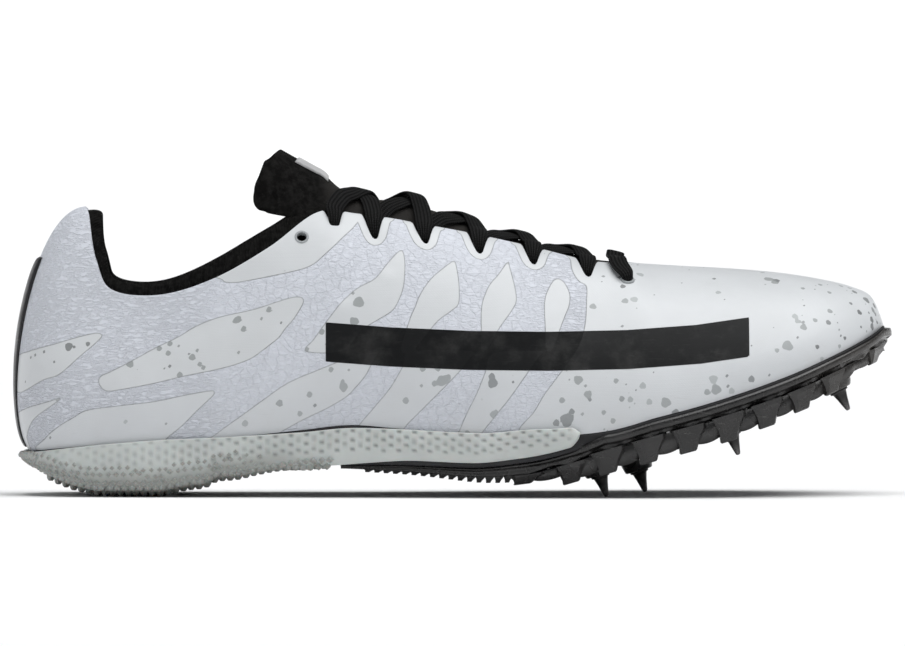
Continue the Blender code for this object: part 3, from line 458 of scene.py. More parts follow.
# Marks and looks, in thousandths of the shoe's length: distance from the back of the heel, and height
# over the floor as seen from the side. The smooth film lies over the knit inside these outlines.
FILM_PANELS = {
    "heel_upper": (
        (2, 155), (15, 163), (44, 171), (68, 178), (88, 183), (96, 184), (101, 181), (93, 172), (74, 156),
        (52, 137), (34, 131), (2, 117),
    ),
    "quarter": (
        (98, 126), (99, 134), (111, 140), (131, 150), (162, 167), (187, 179), (209, 192), (235, 202),
        (275, 211), (302, 220), (322, 225), (331, 221), (321, 202), (310, 189), (303, 179), (293, 171),
        (284, 164), (271, 155), (253, 148), (230, 142), (195, 135), (162, 127), (125, 120), (106, 118),
    ),
    "heel_lower": (
        (33, 49), (35, 63), (52, 78), (69, 88), (84, 96), (120, 101), (162, 106), (195, 113), (224, 118),
        (229, 117), (227, 112), (209, 95), (192, 78), (173, 62), (165, 49),
    ),
    "heel_back": (
        (-4, 90), (2, 93), (15, 99), (36, 105), (54, 110), (44, 102), (27, 90), (19, 81), (14, 65),
        (19, 44), (-6, 44),
    ),
    "eyestay": (
        (238, 245), (242, 242), (257, 242), (284, 247), (313, 253), (332, 258), (344, 264), (355, 274),
        (366, 284), (375, 293), (390, 308), (397, 323), (397, 360), (326, 360), (217, 266),
    ),
    "flame_1": (
        (440, 278), (425, 262), (412, 246), (392, 235), (375, 220), (366, 209), (354, 193), (342, 176),
        (333, 163), (374, 163), (391, 180), (397, 188), (412, 197), (430, 208), (437, 217), (444, 235),
        (446, 255), (445, 273),
    ),
    "flame_2": (
        (501, 266), (491, 259), (475, 245), (463, 227), (458, 214), (453, 203), (446, 182), (442, 163),
        (454, 163), (472, 184), (484, 198), (500, 210), (507, 217), (508, 232), (507, 246), (504, 263),
    ),
    "flame_3": (
        (563, 265), (552, 250), (542, 238), (535, 221), (533, 207), (533, 185), (533, 165), (539, 165),
        (552, 187), (561, 200), (568, 210), (573, 221), (571, 238), (565, 261),
    ),
    "flame_4": (
        (619, 246), (614, 242), (607, 228), (605, 214), (606, 187), (607, 165), (614, 165), (624, 192),
        (629, 205), (633, 215), (634, 228), (629, 240), (624, 245),
    ),
    "front": (
        (669, 296), (633, 296), (635, 273), (637, 256), (645, 243), (653, 238), (653, 220), (651, 192),
        (642, 165), (619, 133), (605, 114), (593, 94), (586, 86), (575, 72), (573, 49), (692, 28),
        (807, 74), (898, 108), (1018, 165), (1018, 257), (852, 296),
    ),
    "low_1": (
        (218, 56), (230, 68), (266, 94), (284, 107), (313, 127), (348, 142), (381, 155), (412, 165),
        (416, 163), (410, 152), (401, 135), (390, 122), (379, 111), (357, 98), (330, 85), (303, 70),
        (282, 56),
    ),
    "low_2": (
        (454, 163), (444, 146), (430, 122), (412, 100), (394, 79), (383, 62), (431, 62), (449, 80),
        (467, 98), (491, 122), (510, 142), (520, 156), (525, 163),
    ),
    "low_3": (
        (548, 161), (538, 140), (528, 115), (517, 93), (508, 72), (503, 60), (525, 60), (536, 73),
        (552, 93), (565, 109), (584, 136), (600, 159), (605, 163),
    ),
}
# Paint spots: distance, height, radius in millimetres and how dark, from 0 to 3.
SPOTS = (
    (63, 170, 1.4, 2), (84, 172, 0.8, 2), (25, 160, 0.6, 2), (35, 162, 0.6, 2), (46, 153, 0.5, 2),
    (13, 131, 0.5, 2), (18, 155, 0.6, 2), (132, 148, 1.2, 1), (167, 167, 0.9, 1), (179, 173, 0.9, 1),
    (175, 162, 0.9, 1), (188, 169, 0.5, 1), (210, 165, 0.6, 1), (205, 157, 1.1, 1), (211, 149, 0.8, 1),
    (218, 145, 0.8, 1), (177, 146, 0.6, 2), (189, 135, 1.0, 1), (254, 199, 1.0, 1), (256, 199, 1.1, 1),
    (264, 188, 1.0, 1), (293, 210, 1.0, 1), (284, 200, 0.6, 1), (306, 196, 0.5, 2), (258, 161, 0.6, 1),
    (322, 159, 0.8, 1), (393, 219, 1.8, 1), (389, 197, 1.5, 1), (351, 186, 1.0, 1), (386, 230, 0.6, 1),
    (363, 141, 0.9, 1), (377, 121, 1.4, 1), (376, 129, 0.6, 1), (338, 113, 1.0, 1), (327, 91, 0.9, 1),
    (382, 140, 0.5, 1), (488, 128, 1.7, 1), (494, 132, 1.3, 1), (479, 127, 1.0, 1), (483, 143, 1.3, 1),
    (467, 144, 1.0, 1), (465, 123, 0.6, 1), (447, 108, 1.1, 1), (547, 128, 1.6, 2), (546, 136, 1.1, 2),
    (549, 89, 1.3, 1), (554, 91, 0.8, 1), (625, 108, 1.0, 1), (654, 115, 1.3, 1), (657, 106, 0.6, 2),
    (643, 129, 1.5, 1), (630, 86, 2.1, 2), (635, 94, 1.0, 2), (618, 80, 1.1, 2), (648, 91, 0.6, 1),
    (672, 94, 0.8, 1), (683, 83, 0.9, 1), (687, 128, 0.9, 1), (881, 169, 1.8, 1), (870, 164, 0.8, 1),
    (900, 190, 1.2, 1), (891, 204, 1.1, 0), (916, 168, 0.8, 3), (921, 154, 0.8, 0), (929, 196, 1.0, 2),
    (931, 209, 1.0, 1), (948, 179, 0.7, 3), (943, 181, 0.5, 3), (980, 192, 1.2, 3), (980, 200, 1.1, 3),
    (967, 192, 0.5, 3), (799, 120, 1.6, 1), (789, 117, 1.0, 1), (796, 131, 1.4, 0), (813, 134, 0.6, 2),
    (814, 124, 0.6, 2), (817, 117, 1.0, 0), (840, 132, 1.1, 2), (743, 104, 1.6, 1), (724, 106, 1.0, 0),
    (716, 125, 1.1, 0), (861, 246, 1.6, 1), (869, 242, 1.3, 1), (900, 235, 0.8, 1), (920, 240, 0.8, 1),
    (931, 231, 0.8, 1), (960, 232, 1.0, 2), (974, 223, 1.3, 2), (956, 218, 0.7, 2), (707, 223, 1.3, 0),
    (715, 251, 1.3, 0),
)
# Plain band along the side: the middle of its width, from back to front.
BAND = ((352, 174), (430, 168), (520, 164), (610, 163), (700, 165), (780, 171), (842, 180))
# Creases pressed into the wall: start, end, width and depth in millimetres.
CREASES = (
    ((411, 292), (380, 232), 4.0, 0.85), ((452, 300), (431, 262), 2.6, 0.35),
    ((150, 178), (215, 190), 3.5, 0.30), ((640, 190), (700, 235), 6.0, 0.30),
    ((96, 215), (130, 232), 3.0, 0.25), ((545, 250), (520, 285), 2.4, 0.25),
)


def add_mesh(name, points, faces, material, layers=None, closed=False):
    """An object from points and faces, with a number on each point for every layer, smooth shaded."""
    data = bpy.data.meshes.new(name)
    faces = faces.tolist() if isinstance(faces, np.ndarray) else faces
    data.from_pydata(np.asarray(points, float).reshape(-1, 3).tolist(), [], faces)
    for layer, values in (layers or {}).items():
        values = np.asarray(values, np.float32).ravel()
        data.attributes.new(layer, "FLOAT", "POINT").data.foreach_set("value", values)
    mesh = bmesh.new()
    mesh.from_mesh(data)
    bmesh.ops.remove_doubles(mesh, verts=mesh.verts, dist=4e-6)
    bmesh.ops.dissolve_degenerate(mesh, edges=mesh.edges, dist=1e-7)
    if closed:
        bmesh.ops.recalc_face_normals(mesh, faces=mesh.faces)
    mesh.to_mesh(data)
    mesh.free()
    data.shade_smooth()
    data.materials.append(material)
    made = bpy.data.objects.new(name, data)
    bpy.context.scene.collection.objects.link(made)
    return made


def grid_faces(rows, columns, loop=False, start=0):
    """Faces of a grid of points, its columns closed into a loop if asked."""
    i = np.arange(rows - 1)[:, None] * columns
    j = np.arange(columns if loop else columns - 1)[None, :]
    k = (j + 1) % columns
    return np.stack([i + j, i + columns + j, i + columns + k, i + k], axis=-1).reshape(-1, 4) + start


def closed_loft(name, rows, material, layers=None, caps=True):
    """A solid through closed sections, with a cap on each end."""
    rows = np.asarray(rows, float)
    n, m = rows.shape[:2]
    faces = grid_faces(n, m, loop=True).tolist()
    if caps:
        faces += [list(range(m))[::-1], list(range((n - 1) * m, n * m))]
    return add_mesh(name, rows, faces, material, layers, closed=True)


def finished(made, replaced):
    """Puts a finished piece on the shoe, in the place of its solids."""
    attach(made, "root")
    if replaced:
        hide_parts(*replaced)
    return made


def joined(name, pieces):
    """One object from several, the first one's name and material slots kept."""
    bpy.ops.object.select_all(action="DESELECT")
    for piece in pieces:
        piece.select_set(True)
    bpy.context.view_layer.objects.active = pieces[0]
    bpy.ops.object.join()
    pieces[0].name = name
    return pieces[0]


def through(points, count, closed=False):
    """A smooth curve through points, as an even number of steps between them."""
    points = np.asarray(points, float)
    n = len(points)
    u = np.linspace(0, n if closed else n - 1, count, endpoint=not closed)
    i = np.minimum(np.floor(u).astype(int), n - 1 if closed else n - 2)
    f = (u - i)[:, None]
    if closed:
        return cubic(*(points[(i + k) % n] for k in (-1, 0, 1, 2)), f)
    ends = np.concatenate([[2 * points[0] - points[1]], points, [2 * points[-1] - points[-2]]])
    return cubic(*(ends[i + k] for k in range(4)), f)


def lengths_along(points):
    """Distance along a row of points from its first one."""
    steps = np.linalg.norm(np.diff(points, axis=0), axis=-1)
    return np.concatenate([[0.0], np.cumsum(steps)])


def side_view(points):
    """Where points stand in the side view, in thousandths of the length. Both sides read the same."""
    height = (points[..., 2] - 0.028 * np.abs(points[..., 1])) / SHOE_LENGTH
    return np.stack([share_of(points[..., 0]), height], axis=-1) * 1000


def to_segments(places, path):
    """Distance of places in the side view to a path, in millimetres."""
    path = np.asarray(path, float)
    best = np.full(len(places), 1e9)
    for a, b in zip(path, path[1:]):
        run = b - a
        u = np.clip(((places - a) @ run) / max(run @ run, 1e-12), 0, 1)
        best = np.minimum(best, np.linalg.norm(places - (a + u[:, None] * run), axis=-1))
    return best * SHOE_LENGTH


def inside_by(places, outline):
    """How far places lie inside a rounded outline of the side view, in millimetres."""
    outline = through(outline, len(outline) * 4, closed=True)
    ring = np.concatenate([outline, outline[:1]])
    distance = to_segments(places, ring)
    inside = np.zeros(len(places), bool)
    for a, b in zip(ring, ring[1:]):
        crosses = (a[1] > places[:, 1]) != (b[1] > places[:, 1])
        at = a[0] + (places[:, 1] - a[1]) / np.where(b[1] == a[1], 1e-9, b[1] - a[1]) * (b[0] - a[0])
        inside ^= crosses & (places[:, 0] < at)
    return np.where(inside, distance, -distance)


class Value:
    """An output of a shader node. Arithmetic on it adds a math node."""

    def __init__(self, shader, socket):
        self.shader, self.socket = shader, socket

    def __mul__(self, other):
        return self.shader.math("MULTIPLY", self, other)

    def __add__(self, other):
        return self.shader.math("ADD", self, other)

    def __sub__(self, other):
        return self.shader.math("SUBTRACT", self, other)

    def __rtruediv__(self, other):
        return self.shader.math("DIVIDE", other, self)


class Shader:
    """Builds a node tree: each call adds a node and gives back its first output."""

    def __init__(self, tree):
        self.tree = tree

    def add(self, kind, inputs=(), output=0, **settings):
        node = self.tree.nodes.new(kind)
        for key, value in settings.items():
            setattr(node, key, value)
        for key, value in dict(inputs).items():
            self.feed(node.inputs[key], value)
        if output is None:
            return [Value(self, socket) for socket in node.outputs]
        return Value(self, node.outputs[output])

    def feed(self, socket, value):
        if isinstance(value, Value):
            self.tree.links.new(value.socket, socket)
        else:
            socket.default_value = value

    def math(self, operation, a, b=0.0):
        return self.add("ShaderNodeMath", {0: a, 1: b}, operation=operation)

    def scaled(self, place, factors):
        return self.add("ShaderNodeVectorMath", {0: place, 1: factors}, operation="MULTIPLY")

    def step(self, value, low, high, out_low=0.0, out_high=1.0):
        """Maps value from low..high to the outputs, with a soft step."""
        inputs = {0: value, 1: low, 2: high, 3: out_low, 4: out_high}
        return self.add("ShaderNodeMapRange", inputs, interpolation_type="SMOOTHSTEP")

    def mix(self, factor, a, b):
        """A colour between a and b."""
        node = self.tree.nodes.new("ShaderNodeMix")
        node.data_type = "RGBA"
        for k, value in ((0, factor), (6, a), (7, b)):
            self.feed(node.inputs[k], value)
        return Value(self, node.outputs[2])

    def layer(self, name):
        """A number that the mesh keeps on its points."""
        return self.add("ShaderNodeAttribute", output=2, attribute_name=name)

    def noise(self, where, scale, detail=3.0, roughness=0.5):
        inputs = {"Vector": where, "Scale": scale, "Detail": detail, "Roughness": roughness}
        return self.add("ShaderNodeTexNoise", inputs)

    def group(self, build, **inputs):
        """All outputs of a shared node group, which is built once."""
        name = build.__name__
        if name not in bpy.data.node_groups:
            build(name)
        return self.add("ShaderNodeGroup", inputs, None, node_tree=bpy.data.node_groups[name])


class Group(Shader):
    """A shader node group with named inputs, which are sizes or the place in millimetres."""

    def __init__(self, name, outputs, **sizes):
        super().__init__(bpy.data.node_groups.new(name, "ShaderNodeTree"))
        interface = self.tree.interface
        interface.new_socket("Place", in_out="INPUT", socket_type="NodeSocketVector")
        for size, value in sizes.items():
            made = interface.new_socket(size, in_out="INPUT", socket_type="NodeSocketFloat")
            made.default_value = value
        for output in outputs:
            interface.new_socket(output, in_out="OUTPUT", socket_type="NodeSocketFloat")
        entry = self.tree.nodes.new("NodeGroupInput")
        self.place, *self.sizes = (Value(self, entry.outputs[k]) for k in range(1 + len(sizes)))

    def close(self, *values):
        end = self.tree.nodes.new("NodeGroupOutput")
        for k, value in enumerate(values):
            self.feed(end.inputs[k], value)


def Grain(name):
    """Fine grain of a moulded or coated surface, with a slow change of tone."""
    g = Group(name, ("Height", "Tone"), Size=0.4, Spread=20.0)
    size, spread = g.sizes
    slow = g.noise(g.place, 1.0 / spread, 3.0, 0.55)
    g.close(g.noise(g.place, 1.0 / size, 4.0, 0.6), g.step(slow, 0.3, 0.7))


def Weave(name):
    """Over and under threads. Pitch is one thread."""
    g = Group(name, ("Height", "Thread"), Pitch=0.8)
    turn = math.pi / g.sizes[0]
    x, y, z = (g.math("SINE", part * turn) for part in g.add("ShaderNodeSeparateXYZ", {0: g.place}, None))
    wave = x * z + y * z
    g.close(wave * 0.5 + g.noise(g.place, 3.0, 2.0), g.step(wave, -0.6, 0.6))


def Brushed_pile(name):
    """Short brushed fibres of a soft fabric."""
    g = Group(name, ("Height", "Tone"), Length=1.2)
    length_of_fibre = g.sizes[0]
    fibre = g.noise(g.scaled(g.place, (0.45, 1.0, 1.0)), 2.4 / length_of_fibre, 5.0, 0.7)
    tuft = g.noise(g.place, 0.6 / length_of_fibre, 3.0, 0.6)
    g.close(fibre + tuft * 0.8, g.step(tuft, 0.35, 0.65))


def Wear(name):
    """Light scuffs and dust: more of them where Amount is high."""
    g = Group(name, ("Dust", "Scuff"), Amount=0.3)
    amount = g.sizes[0]
    cloud = g.noise(g.place, 0.09, 6.0, 0.65)
    streak = g.noise(g.scaled(g.place, (0.18, 1.0, 1.4)), 0.8, 4.0, 0.6)
    g.close(g.step(cloud, 0.45, 0.75) * amount, g.step(streak, 0.6, 0.72) * amount)


def Specks(name):
    """Small round specks scattered over a surface."""
    g = Group(name, ("Mask",), Cell=6.0, Radius=0.1)
    cell, radius = g.sizes
    distance, tint, *_ = g.add("ShaderNodeTexVoronoi", {"Vector": g.place, "Scale": 1.0 / cell}, None)
    share = g.add("ShaderNodeSeparateXYZ", {0: tint})
    g.close(g.step(radius * g.math("POWER", share, 2.0) - distance, 0.0, 0.012))


def colour(value, factor=1.0):
    return (value[0] * factor, value[1] * factor, value[2] * factor, 1.0)


class Surface(Shader):
    def __init__(self, name, grain=None, wear=None, **sockets):
        self.material = bpy.data.materials.new(name)
        self.material.use_nodes = True
        super().__init__(self.material.node_tree)
        self.shader = self.tree.nodes["Principled BSDF"]
        for key, value in sockets.items():
            self.shader.inputs[key.replace("_", " ")].default_value = value
        self.place = self.scaled(self.add("ShaderNodeTexCoord", output=3), (1000, 1000, 1000))
        if grain is not None:
            self.grain, self.tone = self.group(Grain, Place=self.place, Size=grain[0], Spread=grain[1])
        if wear is not None:
            self.dust, self.scuff = self.group(Wear, Place=self.place, Amount=wear)

    def shades(self, mask, tint, low, high):
        """From a darker to a lighter shade of a colour, as the mask goes from 0 to 1."""
        return self.mix(mask, colour(tint, low), colour(tint, high))

    def finish(self, base, rough, height=None):
        """Feeds the colour, the roughness and the relief, which is in millimetres."""
        self.feed(self.shader.inputs["Base Color"], base)
        self.feed(self.shader.inputs["Roughness"], rough)
        if height is not None:
            bump = {"Strength": 1.0, "Distance": 0.001, "Height": height}
            self.feed(self.shader.inputs["Normal"], self.add("ShaderNodeBump", bump))
        return self.material


def upper_material(c):
    """Knit with a clear film over it, paint spots, the plain band and the film's edges, with painted shade
    low on the wall and towards the heel.
    """
    s = Surface("Coated_knit", (0.5, 26.0), Specular_IOR_Level=0.10, Coat_Roughness=0.34, Coat_IOR=1.4)
    # More dust and scuffs low on the wall: partly dust, partly painted shade towards the bottom.
    s.dust, s.scuff = s.group(Wear, Place=s.place, Amount=s.layer("soil"))
    film = s.layer("film")
    knit = s.step(film, 0.06, -0.06)
    ripple = s.noise(s.scaled(s.place, (0.30, 0.5, 1.0)), 0.85, 3.0, 0.62)
    ridge = s.step(s.math("ABSOLUTE", ripple - 0.5), 0.0, 0.11)
    cells = {"Vector": s.scaled(s.place, (1.0, 0.6, 1.0)), "Scale": 0.34}
    ring = s.step(s.add("ShaderNodeTexVoronoi", cells, feature="DISTANCE_TO_EDGE"), 0.02, 0.13)
    zone = s.layer("cells")
    texture = ridge * s.step(zone, 0.0, 1.0, 1.0, 0.5) + ring * zone * 0.5
    weave, thread = s.group(Weave, Place=s.place, Pitch=0.42)
    knit_colour = s.mix(s.tone * 0.35, s.shades(texture, c.knit, 0.885, 1.0), colour(c.knit, 1.06))
    film_colour = s.mix(thread * 0.05, s.shades(s.tone, c.film, 0.965, 1.02), colour(c.film, 0.84))
    base = s.mix(knit, film_colour, knit_colour)
    # A thin dark line along the film's edges: partly printed outline, partly painted shadow where the film
    # steps up from the knit.
    base = s.mix(s.step(s.math("ABSOLUTE", film), 0.26, 0.05) * 0.50, base, colour(c.spot, 0.72))
    over = s.step(knit, 1.0, 0.0, 0.25, 1.0)
    spot = s.step(s.layer("spots"), -0.07, 0.09) * over
    base = s.mix(spot * 0.86, base, s.shades(s.layer("shade"), c.spot, 1.75, 0.42))
    specks = s.group(Specks, Place=s.place, Cell=5.2, Radius=0.085)[0] * over * s.layer("speckled")
    base = s.mix(specks * 0.8, base, colour(c.spot, 0.9))
    # Painted shade: the knit turns darker low on the wall, and more so towards the heel.
    base = s.mix(s.layer("low") * 0.30, base, colour(c.knit, 0.62))
    band = s.step(s.layer("band"), -0.07, 0.07)
    base = s.mix(band, base, s.shades(s.grain * 0.5, c.band, 1.0, 1.35))
    base = s.mix(s.dust * 0.5, base, colour(c.dust))
    base = s.mix(s.scuff * 0.28, base, colour(c.dust, 0.6))
    bare = s.step(band, 0.0, 1.0, 1.0, 0.12)
    s.feed(s.shader.inputs["Coat Weight"], s.step(knit, 0.0, 1.0, 0.55, 0.10) * bare)
    height = (texture * knit * 0.26 + s.step(film, -0.12, 0.12) * 0.30) * bare
    height = height + s.step(s.layer("band"), -0.16, 0.05) * 0.16
    height = height + s.step(s.layer("spots"), -0.10, 0.10) * 0.025
    rough = knit * 0.24 + s.step(s.tone, 0.0, 1.0, 0.36, 0.44) + band * 0.2
    return s.finish(base, rough, height + weave * 0.012 + s.grain * 0.02)


def knit_material(name, tint, pitch, relief, c):
    """A plain woven or knitted textile: lining and insole cover."""
    s = Surface(name, (0.7, 18.0), 0.3, Specular_IOR_Level=0.2, Sheen_Weight=0.15, Sheen_Roughness=0.6)
    weave, thread = s.group(Weave, Place=s.place, Pitch=pitch)
    base = s.mix(s.tone * 0.3, s.shades(thread, tint, 0.72, 1.15), colour(tint, 1.5))
    base = s.mix(s.dust * 0.25, base, colour(c.dust, 0.35))
    return s.finish(base, s.step(s.tone, 0.0, 1.0, 0.82, 0.94), weave * relief + s.grain * 0.05)


def pile_material(name, tint, c, length_of_fibre):
    """Black brushed fabric: tongue and collar. Lower down on the tongue it turns dark brown grey."""
    s = Surface(name, Specular_IOR_Level=0.03)
    pile, tuft = s.group(Brushed_pile, Place=s.place, Length=length_of_fibre)
    ribs = s.math("SINE", s.layer("along") * (2 * math.pi / 1.1)) * s.layer("ribs")
    base = s.mix(s.layer("worn"), s.shades(tuft, tint, 0.65, 1.6), colour(c.tongue_front))
    base = s.mix(s.step(pile, 1.02, 1.28, 0.0, 0.35), base, colour(tint, 5.0))
    return s.finish(base, s.step(pile, 0.6, 1.2, 0.86, 0.98), pile * 0.30 + ribs * 0.10)


def lace_material(c):
    """Flat braid: ribs along the lace and slanted threads across them."""
    s = Surface("Braid", Specular_IOR_Level=0.07)
    rib = s.math("ABSOLUTE", s.math("SINE", s.layer("across") * (math.pi * 2.5)))
    thread = s.step(s.math("SINE", s.layer("along") * (2 * math.pi / 0.75) + rib * 1.9), -0.9, 0.9)
    fuzz = s.noise(s.place, 2.2, 4.0, 0.65)
    # Painted highlight and shade: the braid is lighter on the tops of its ribs and darker in the grooves,
    # following the relief.
    base = s.shades(rib * (thread * 0.6 + 0.4), c.lace, 0.30, 2.2)
    base = s.mix(s.step(fuzz, 0.60, 0.78, 0.0, 0.5), base, colour(c.lace, 5.5))
    return s.finish(base, s.step(thread, 0.0, 1.0, 0.62, 0.80), rib * 0.30 + thread * 0.10 + fuzz * 0.05)


def film_material(name, tint, c, rough):
    """A smooth pressed film: heel strip and tongue patch, with a faint weave showing through."""
    s = Surface(name, (0.35, 9.0), 0.45, Specular_IOR_Level=0.4)
    weave, _ = s.group(Weave, Place=s.place, Pitch=0.5)
    base = s.shades(s.tone, tint, 0.9, 1.12)
    base = s.mix(s.step(s.layer("edge"), 0.86, 0.98, 0.0, 0.35), base, colour(tint, 0.55))
    base = s.mix(s.scuff * 0.4, base, colour(c.dust, 0.7))
    return s.finish(base, s.step(s.tone, 0.0, 1.0, rough - 0.05, rough + 0.07), weave * 0.03 + s.grain * 0.02)


def rubber_material(c):
    """Cloudy grey white rubber with small pits, dust, painted shade in the pits, a painted highlight along
    its rim, and soil with painted shade towards its bottom.
    """
    s = Surface("Clouded_rubber", (0.3, 14.0), 0.5, Specular_IOR_Level=0.45, Subsurface_Weight=0.12,
                Subsurface_Scale=0.0015)
    pit = s.layer("pit")
    # Painted shade: the pits are darkened, as shade falls in them.
    base = s.mix(pit * 0.85, s.shades(s.tone, c.rubber, 0.94, 1.05), colour(c.rubber, 0.44))
    # Painted highlight: the rubber is lightened along its top rim and at the rounded ends of its arms.
    base = s.mix(s.layer("lip"), base, colour(c.rubber, 1.32))
    base = s.mix(s.dust * 0.35, base, colour(c.dust, 0.8))
    # Soil and painted shade: the rubber darkens towards its bottom, under the heel and on the teeth.
    base = s.mix(s.layer("ground") * 0.66, base, colour(c.soil))
    return s.finish(base, s.step(s.tone, 0.0, 1.0, 0.34, 0.48) + pit * 0.12, s.grain * 0.05)


def foam_material(c):
    """Skinned black foam with fine pores."""
    s = Surface("Skinned_foam", (0.35, 12.0), 0.4, Specular_IOR_Level=0.3)
    pores, = s.group(Specks, Place=s.place, Cell=1.1, Radius=0.3)
    base = s.mix(s.dust * 0.3, s.shades(s.tone, c.foam, 0.8, 1.5), colour(c.dust, 0.3))
    return s.finish(base, s.step(s.tone, 0.0, 1.0, 0.58, 0.74), s.grain * 0.06 - pores * 0.08)


def plate_material(c):
    """Glossy black nylon with flow marks, scuffs and dust on the tread."""
    s = Surface("Moulded_nylon", (0.28, 7.0), 0.7, Specular_IOR_Level=0.5)
    base = s.mix(s.layer("toe_tint") * 0.55, s.shades(s.tone, c.plate, 0.7, 1.5), colour(c.plate_toe))
    base = s.mix(s.dust * 0.16, base, colour(c.dust, 0.35))
    base = s.mix(s.scuff * 0.35, base, colour(c.dust, 0.3))
    return s.finish(base, s.step(s.tone, 0.0, 1.0, 0.19, 0.33) + s.scuff * 0.3, s.grain * 0.06)


def steel_material(c):
    """Blackened steel, rubbed bright towards the tip."""
    s = Surface("Blackened_steel", (0.2, 2.5), Specular_IOR_Level=0.5, Metallic=0.75)
    rubbed = s.layer("tip") * s.step(s.grain, 0.35, 0.6)
    base = s.mix(rubbed * 0.6, s.shades(s.tone, c.steel, 0.7, 1.4), colour(c.steel, 9.0))
    return s.finish(base, s.step(s.grain, 0.3, 0.7, 0.30, 0.44), s.grain * 0.03)


def floor_material(c):
    """Pale matt backdrop paper."""
    s = Surface("Backdrop", (2.0, 180.0), Specular_IOR_Level=0.05)
    return s.finish(s.shades(s.tone, c.floor, 0.985, 1.0), s.step(s.grain, 0.3, 0.7, 0.88, 0.94))


def length(name, description, value, low, high):
    return FloatProperty(
        name=name, description=description, default=value, min=low, max=high, unit="LENGTH", precision=5
    )


class SpikeShoeSizes(bpy.types.PropertyGroup):
    """Sizes of the visible details."""

    lace_width: length("Lace width", "Width of the flat lace", LACE_WIDTH, 0.003, 0.007)
    lace_thickness: length("Lace thickness", "Thickness of the flat lace", LACE_THICKNESS, 0.0008, 0.002)
    film_rim: length("Notch film", "Width of the smooth film round each lace notch", 0.0026, 0.0, 0.005)
    band_width: length("Side band", "Width of the plain dark band on each side", 0.0125, 0.0, 0.02)
    pit_pitch: length("Pit spacing", "Distance between pits along the rubber", 0.0050, 0.003, 0.01)
    pit_depth: length("Pit depth", "Depth of the pits in the rubber", 0.0005, 0.0, 0.0008)
    nub_pitch: length("Tread pitch", "Distance between the teeth under the heel", 0.0025, 0.002, 0.006)
    lug_pitch: length("Lug pitch", "Distance between the blades along the plate's edge", 0.0135, 0.008, 0.02)
    spots: IntProperty(
        name="Scattered spots", description="Paint spots added to the placed ones", default=460, min=0,
        max=900,
    )
    crease: FloatProperty(
        name="Creases", description="Strength of the pressed creases", default=1.0, min=0.0, max=2.0,
        subtype="FACTOR",
    )


def tint(name, value, description):
    return FloatVectorProperty(
        name=name, description=description, default=value, size=3, min=0.0, max=1.0, subtype="COLOR"
    )


class SpikeShoeColours(bpy.types.PropertyGroup):
    """Colours of the finishes."""

    knit: tint("Knit", (0.70, 0.725, 0.785), "Open knit of the upper")
    film: tint("Film", (0.665, 0.685, 0.70), "Smooth film over the knit")
    spot: tint("Spots", (0.235, 0.25, 0.25), "Paint spots and film edges")
    band: tint("Band", (0.009, 0.0095, 0.010), "Plain band on each side")
    lining: tint("Lining", (0.020, 0.020, 0.022), "Inside of the upper")
    pile: tint("Brushed fabric", (0.008, 0.0078, 0.0075), "Tongue and collar")
    tongue_front: tint("Tongue front", (0.036, 0.034, 0.032), "Tongue under the lacing")
    lace: tint("Lace", (0.008, 0.008, 0.008), "Braided lace")
    patch: tint("Patch", (0.46, 0.46, 0.46), "Plain patch on the tongue")
    strip: tint("Heel strip", (0.012, 0.012, 0.014), "Strip up the heel")
    insole: tint("Insole", (0.035, 0.036, 0.04), "Sock liner")
    eyelet: tint("Eyelets", (0.34, 0.36, 0.37), "Rings round the lace holes")
    rubber: tint("Rubber", (0.53, 0.56, 0.545), "Heel rubber")
    foam: tint("Foam", (0.020, 0.020, 0.022), "Midsole foam")
    plate: tint("Plate", (0.011, 0.0105, 0.0105), "Spike plate")
    plate_toe: tint("Plate toe", (0.045, 0.040, 0.035), "Spike plate at the toe")
    steel: tint("Steel", (0.030, 0.029, 0.029), "Spikes")
    dust: tint("Dust", (0.52, 0.51, 0.49), "Dust and scuffs")
    # Soil colour, which also paints shade on the heel rubber's bottom and tread.
    soil: tint("Soil", (0.13, 0.12, 0.10), "Soil in the heel's tread")
    floor: tint("Backdrop", (0.95, 0.95, 0.95), "Floor and backdrop")


def settings():
    scene = bpy.context.scene
    return scene.spike_shoe_sizes, scene.spike_shoe_colours


UPPER_COLUMNS = ((0, 3, 60), (3, 6, 62), (6, 12.5, 250), (12.5, 18, 124), (18, 20, 56))
INNER_COLUMNS = ((0, 3, 36), (3, 6, 36), (6, 12.5, 170), (12.5, 18, 124), (18, 20, 56))
UPPER_ROWS = 74
LINING_ROWS = 16
# The upper's wall as seen, and the steps over its open edge: share of the wall and lift.
SHELL_WALL = UPPER_WALL - 0.0001
RIM_STEPS = ((0.12, 0.00014), (0.5, 0.00020), (0.88, 0.00014), (1.0, 0.0))
# Notches: reach along the loop, shares of NOTCH_WIDTH, sharpness of the corners and least depth.
NOTCH_REACH = 2.0
NOTCH_MOUTH = 0.52
NOTCH_SLANT = 0.36
NOTCH_FLOOR = 7
NOTCH_LIP = 14
NOTCH_LEAST = 0.0001
# The film along the notches starts where they are this deep, in this span of the side view.
FILM_FROM = 0.00012
NOTCH_SPAN = (320, 690)
# How far a crease's middle is bent aside in the side view.
CREASE_BEND = 3.0
# Spots: seed, least film under them, share that the inner side repeats, share of the scattered ones
# on the toe, where those begin and where the heel's end.
SPOT_SEED = 7
SPOT_FILM = 0.3
INNER_SHARE = 0.75
TOE_SHARE = 0.62
TOE_SPOTS_FROM = 600
HEEL_SPOTS_TO = 190
